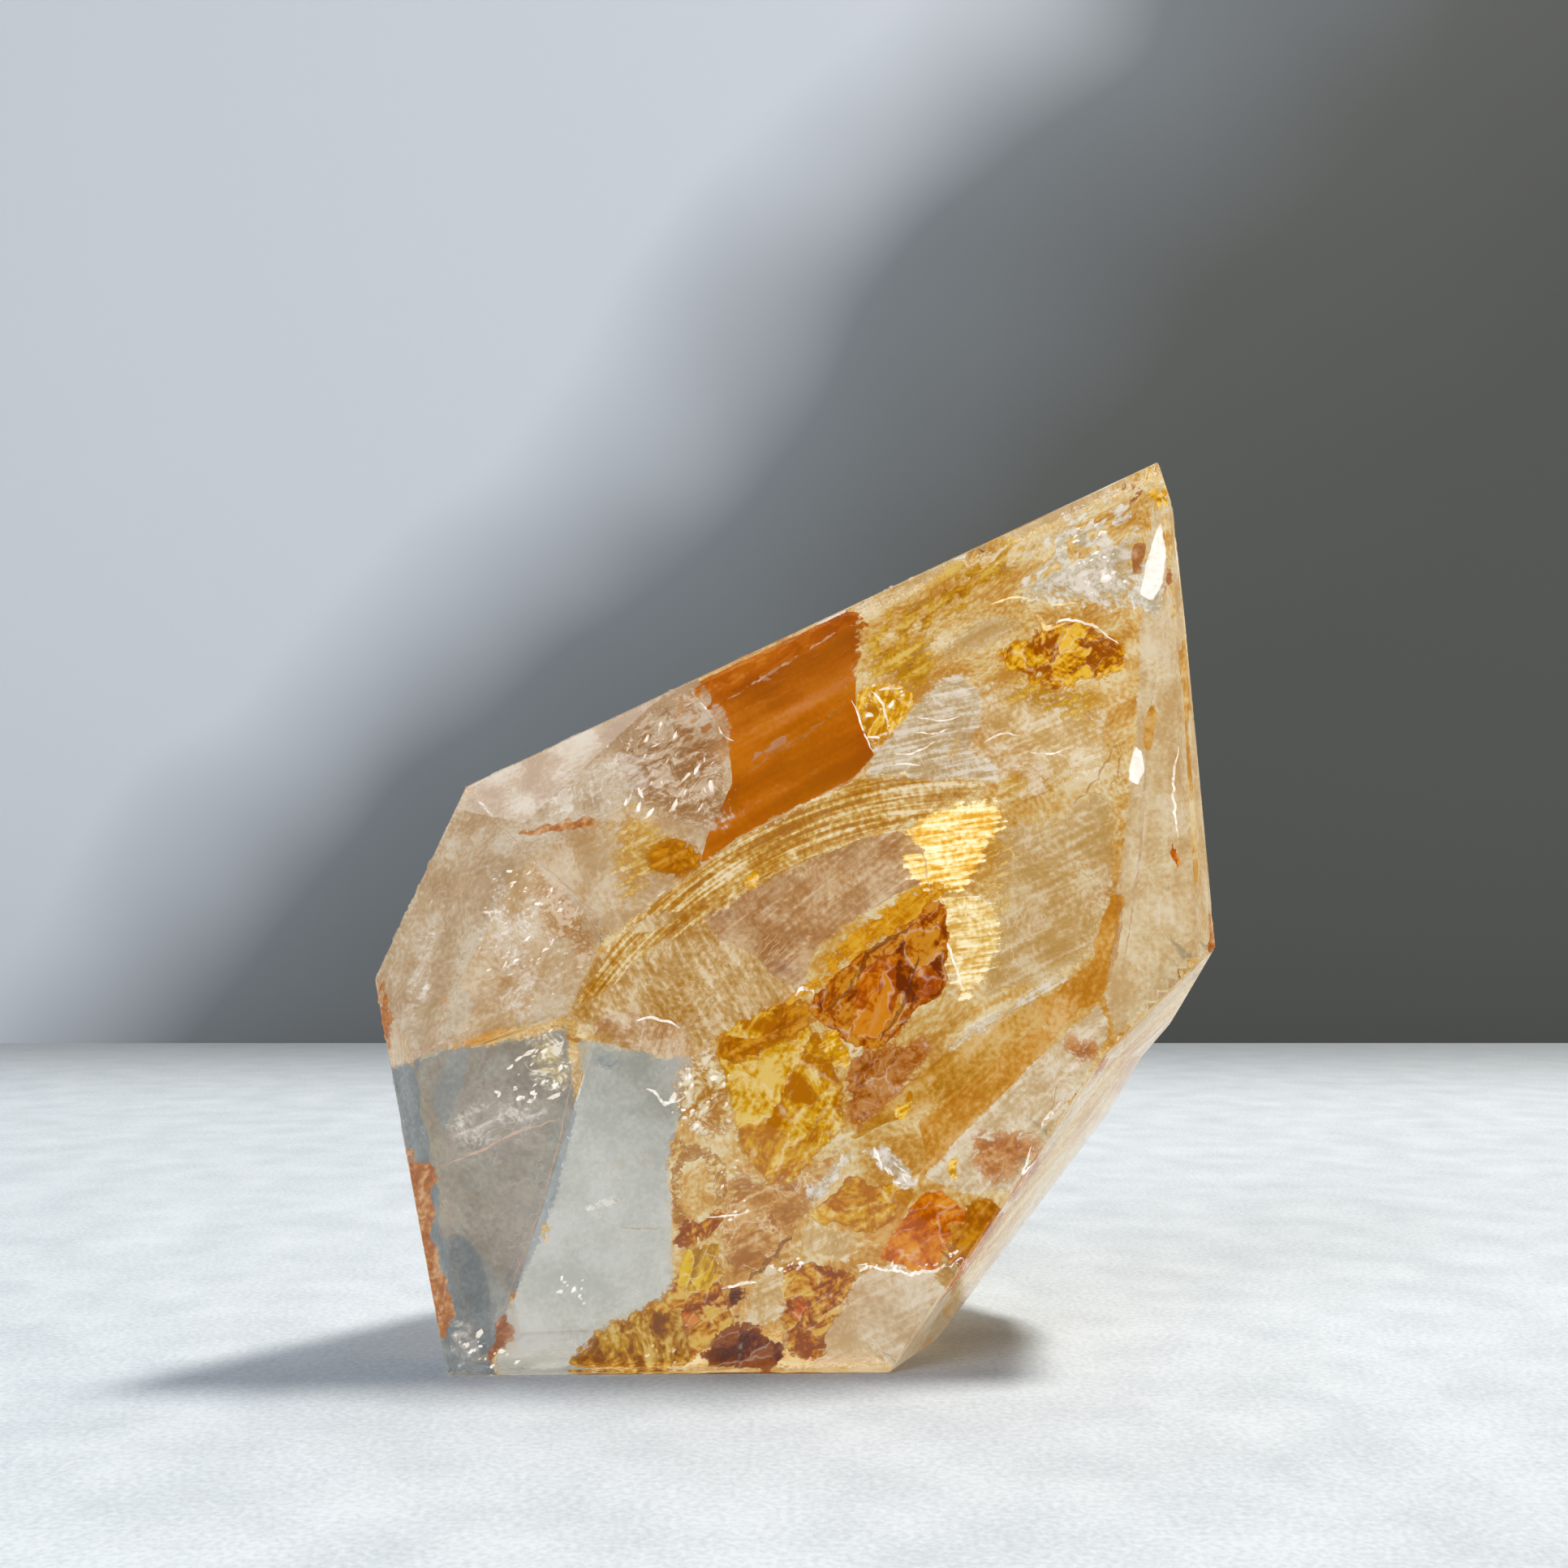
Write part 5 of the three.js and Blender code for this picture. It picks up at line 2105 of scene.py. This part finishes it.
@dataclass(frozen=True)
class PlainStone:
    """Pale fine-grained surface that the stone stands on, darkened by painted shade towards the wall.
    """

    light: Colour = (240, 247, 252)
    dark: Colour = (214, 222, 228)
    # far is the colour of the painted shade towards the foot of the wall.
    far: Colour = (132, 138, 143)

    def material(self) -> bpy.types.Material:
        """Build the floor's material."""
        shader = Shader("studio_floor")
        place = shader.millimetres()
        grain = shader.noise(place, 0.5, detail=4)
        mottle = shader.noise(place, 9.0, detail=3)
        mix = grain * 0.6 + mottle * 0.4
        stops = [(0.35, linear(self.dark)), (0.62, linear(self.light))]
        back = shader.node("ShaderNodeSeparateXYZ", None, {0: place}, output=1)
        # Painted shade: the floor darkens towards far between 160 and 330 mm back.
        painted_wall_foot_shade = shader.step(back, 160.0, 330.0) * 0.75
        return shader.surface(
            Base_Color=shader.tint(shader.ramp(mix, stops), painted_wall_foot_shade, linear(self.far)),
            Roughness=0.75,
            Normal=shader.bump(grain, 0.12, 0.7),
        )


@dataclass(frozen=True)
class GreyWall:
    """Plain grey backdrop with painted light and shade: bright on the left and darker to the right,
    across a slanted band, and lit further by emission of its own colour.
    """

    light: Colour = (244, 248, 253)
    middle: Colour = (142, 147, 151)
    dark: Colour = (108, 109, 105)
    darkest: Colour = (98, 99, 94)
    slant: float = -42.0
    bright_end: float = -215.0
    dark_end: float = 45.0
    painted_glow: float = 0.1

    def material(self) -> bpy.types.Material:
        """Build the backdrop's material."""
        shader = Shader("studio_wall")
        place = shader.millimetres(turn=(0, self.slant, 0))
        across = shader.node("ShaderNodeSeparateXYZ", None, {0: place}, output=0)
        haze = shader.noise(shader.millimetres(), 130.0, detail=2) - 0.5
        # Painted light and shade: the brightness drops off across a slanted band, its border broken by
        # slow noise.
        painted_falloff = shader.step(across + haze * 70, self.bright_end, self.dark_end)
        tones = (self.light, self.middle, self.dark, self.darkest)
        stops = [(p, linear(t)) for p, t in zip((0.08, 0.36, 0.7, 1.0), tones)]
        colour = shader.ramp(painted_falloff, stops)
        return shader.surface(
            Base_Color=colour, Roughness=0.9, Emission_Color=colour, Emission_Strength=self.painted_glow
        )


@dataclass(frozen=True)
class DarkCard:
    """Dull black card."""

    dark: Colour = (14, 14, 15)
    light: Colour = (24, 24, 25)

    def material(self) -> bpy.types.Material:
        """Build the card's material."""
        shader = Shader("studio_flag")
        mottle = shader.noise(shader.millimetres(), 60.0, detail=2)
        stops = [(0.4, linear(self.dark)), (0.6, linear(self.light))]
        return shader.surface(Base_Color=shader.ramp(mottle, stops), Roughness=0.9)


@dataclass(frozen=True)
class SoftBox:
    """A square area lamp that looks at the stone.

    place is where it hangs and size the length of its sides, both in millimetres. power is in
    watts, and colour is the screen colour of its light.
    """

    name: str
    place: Point3
    size: float
    power: float
    colour: Colour

    def build(self) -> None:
        """Hang the lamp."""
        deselect_all()
        target = Vector((0, 0, 30))
        where = Vector(self.place)
        turn = (target - where).to_track_quat("-Z", "Y").to_euler()
        bpy.ops.object.light_add(type="AREA", location=where * MM, rotation=turn)
        lamp = bpy.context.object
        lamp.name = self.name
        lamp.data.size = self.size * MM
        lamp.data.energy = self.power
        lamp.data.color = linear(self.colour)[:3]


@dataclass
class Studio:
    """Floor, backdrop, lamps and camera round the stone.

    eye is the camera's place, pitch how far it looks up in degrees and lens its focal length.
    wall is how far the backdrop stands behind the stone and flag how far the dark card stands
    in front of it, so that the front flat reflects no glare. gap is how far the floor lies
    under the stone's foot. The key lamp hangs behind on the right, the fill at the front left,
    and air is the colour of the room. Places and distances are millimetres.
    """

    eye: Point3 = (-1.2, -170.2, 40.2)
    pitch: float = 3.486
    lens: float = 40.99
    wall: float = 312.0
    flag: float = 900.0
    gap: float = 0.05
    key: SoftBox = SoftBox("key", (495, 195, 960), 120, 9.3, (255, 251, 244))
    fill: SoftBox = SoftBox("fill", (-420, -520, 420), 420, 1.9, (236, 242, 255))
    air: Colour = (222, 230, 240)
    air_light: float = 0.22

    def build(self) -> None:
        """Set up everything that isn't the stone."""
        self._plane("studio_floor", PlainStone(), 3.0, (0, 0, -self.gap * MM), turn=0.0)
        self._plane("studio_wall", GreyWall(), 3.0, (0, self.wall * MM, 1.45))
        self._plane("studio_flag", DarkCard(), 2.4, (0, -self.flag * MM, 0.9))
        self.key.build()
        self.fill.build()
        self._air()
        self._camera()
        self._light_paths()

    def _plane(
        self,
        name: str,
        finish: PlainStone | GreyWall | DarkCard,
        size: float,
        place: Point3,
        turn: float = 90.0,
    ) -> None:
        """Add a flat part of the studio.

        Args:
            name: name of the plane.
            finish: what it is made of.
            size: length of its sides in metres.
            place: its middle in metres.
            turn: how far it is tipped up from level, in degrees.
        """
        deselect_all()
        bpy.ops.mesh.primitive_grid_add(
            x_subdivisions=8,
            y_subdivisions=8,
            size=size,
            location=place,
            rotation=(math.radians(turn), 0, 0),
        )
        plane = bpy.context.object
        plane.name = name
        plane.data.materials.append(finish.material())
        bpy.ops.object.transform_apply(location=True, rotation=True)

    def _air(self) -> None:
        """A pale room all round."""
        world = bpy.data.worlds.new("studio_air")
        world.use_nodes = True
        sky = world.node_tree.nodes["Background"]
        sky.inputs["Color"].default_value = linear(self.air)
        sky.inputs["Strength"].default_value = self.air_light
        bpy.context.scene.world = world

    def _camera(self) -> None:
        """A level-headed camera just above mid-height, tipped up a little."""
        deselect_all()
        place = tuple(c * MM for c in self.eye)
        turn = (math.radians(90 + self.pitch), 0, 0)
        bpy.ops.object.camera_add(location=place, rotation=turn)
        camera = bpy.context.object
        camera.data.lens = self.lens
        camera.data.sensor_width = 36
        camera.data.clip_start = 0.001
        camera.data.clip_end = 10
        bpy.context.scene.camera = camera

    def _light_paths(self) -> None:
        """Let light pass through many sheets, and keep colours as they are mixed."""
        scene = bpy.context.scene
        scene.cycles.max_bounces = 9
        scene.cycles.transmission_bounces = 9
        scene.cycles.glossy_bounces = 5
        scene.cycles.diffuse_bounces = 1
        scene.cycles.transparent_max_bounces = 64
        scene.cycles.sample_clamp_indirect = 6.0
        scene.cycles.use_denoising = True
        scene.view_settings.view_transform = "Standard"


# ---- main -------------------------------------------------------------------------------


def main() -> None:
    logging.basicConfig(level=logging.INFO, format="%(message)s")
    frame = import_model()
    node = frame["nodes"][STONE_NODE]
    studio = Studio()
    studio.build()
    window = Window(node, Vector(studio.eye) * MM)
    ClearBody(node).build()
    for region in REGIONS:
        region().build(window)


if __name__ == "__main__":
    main()
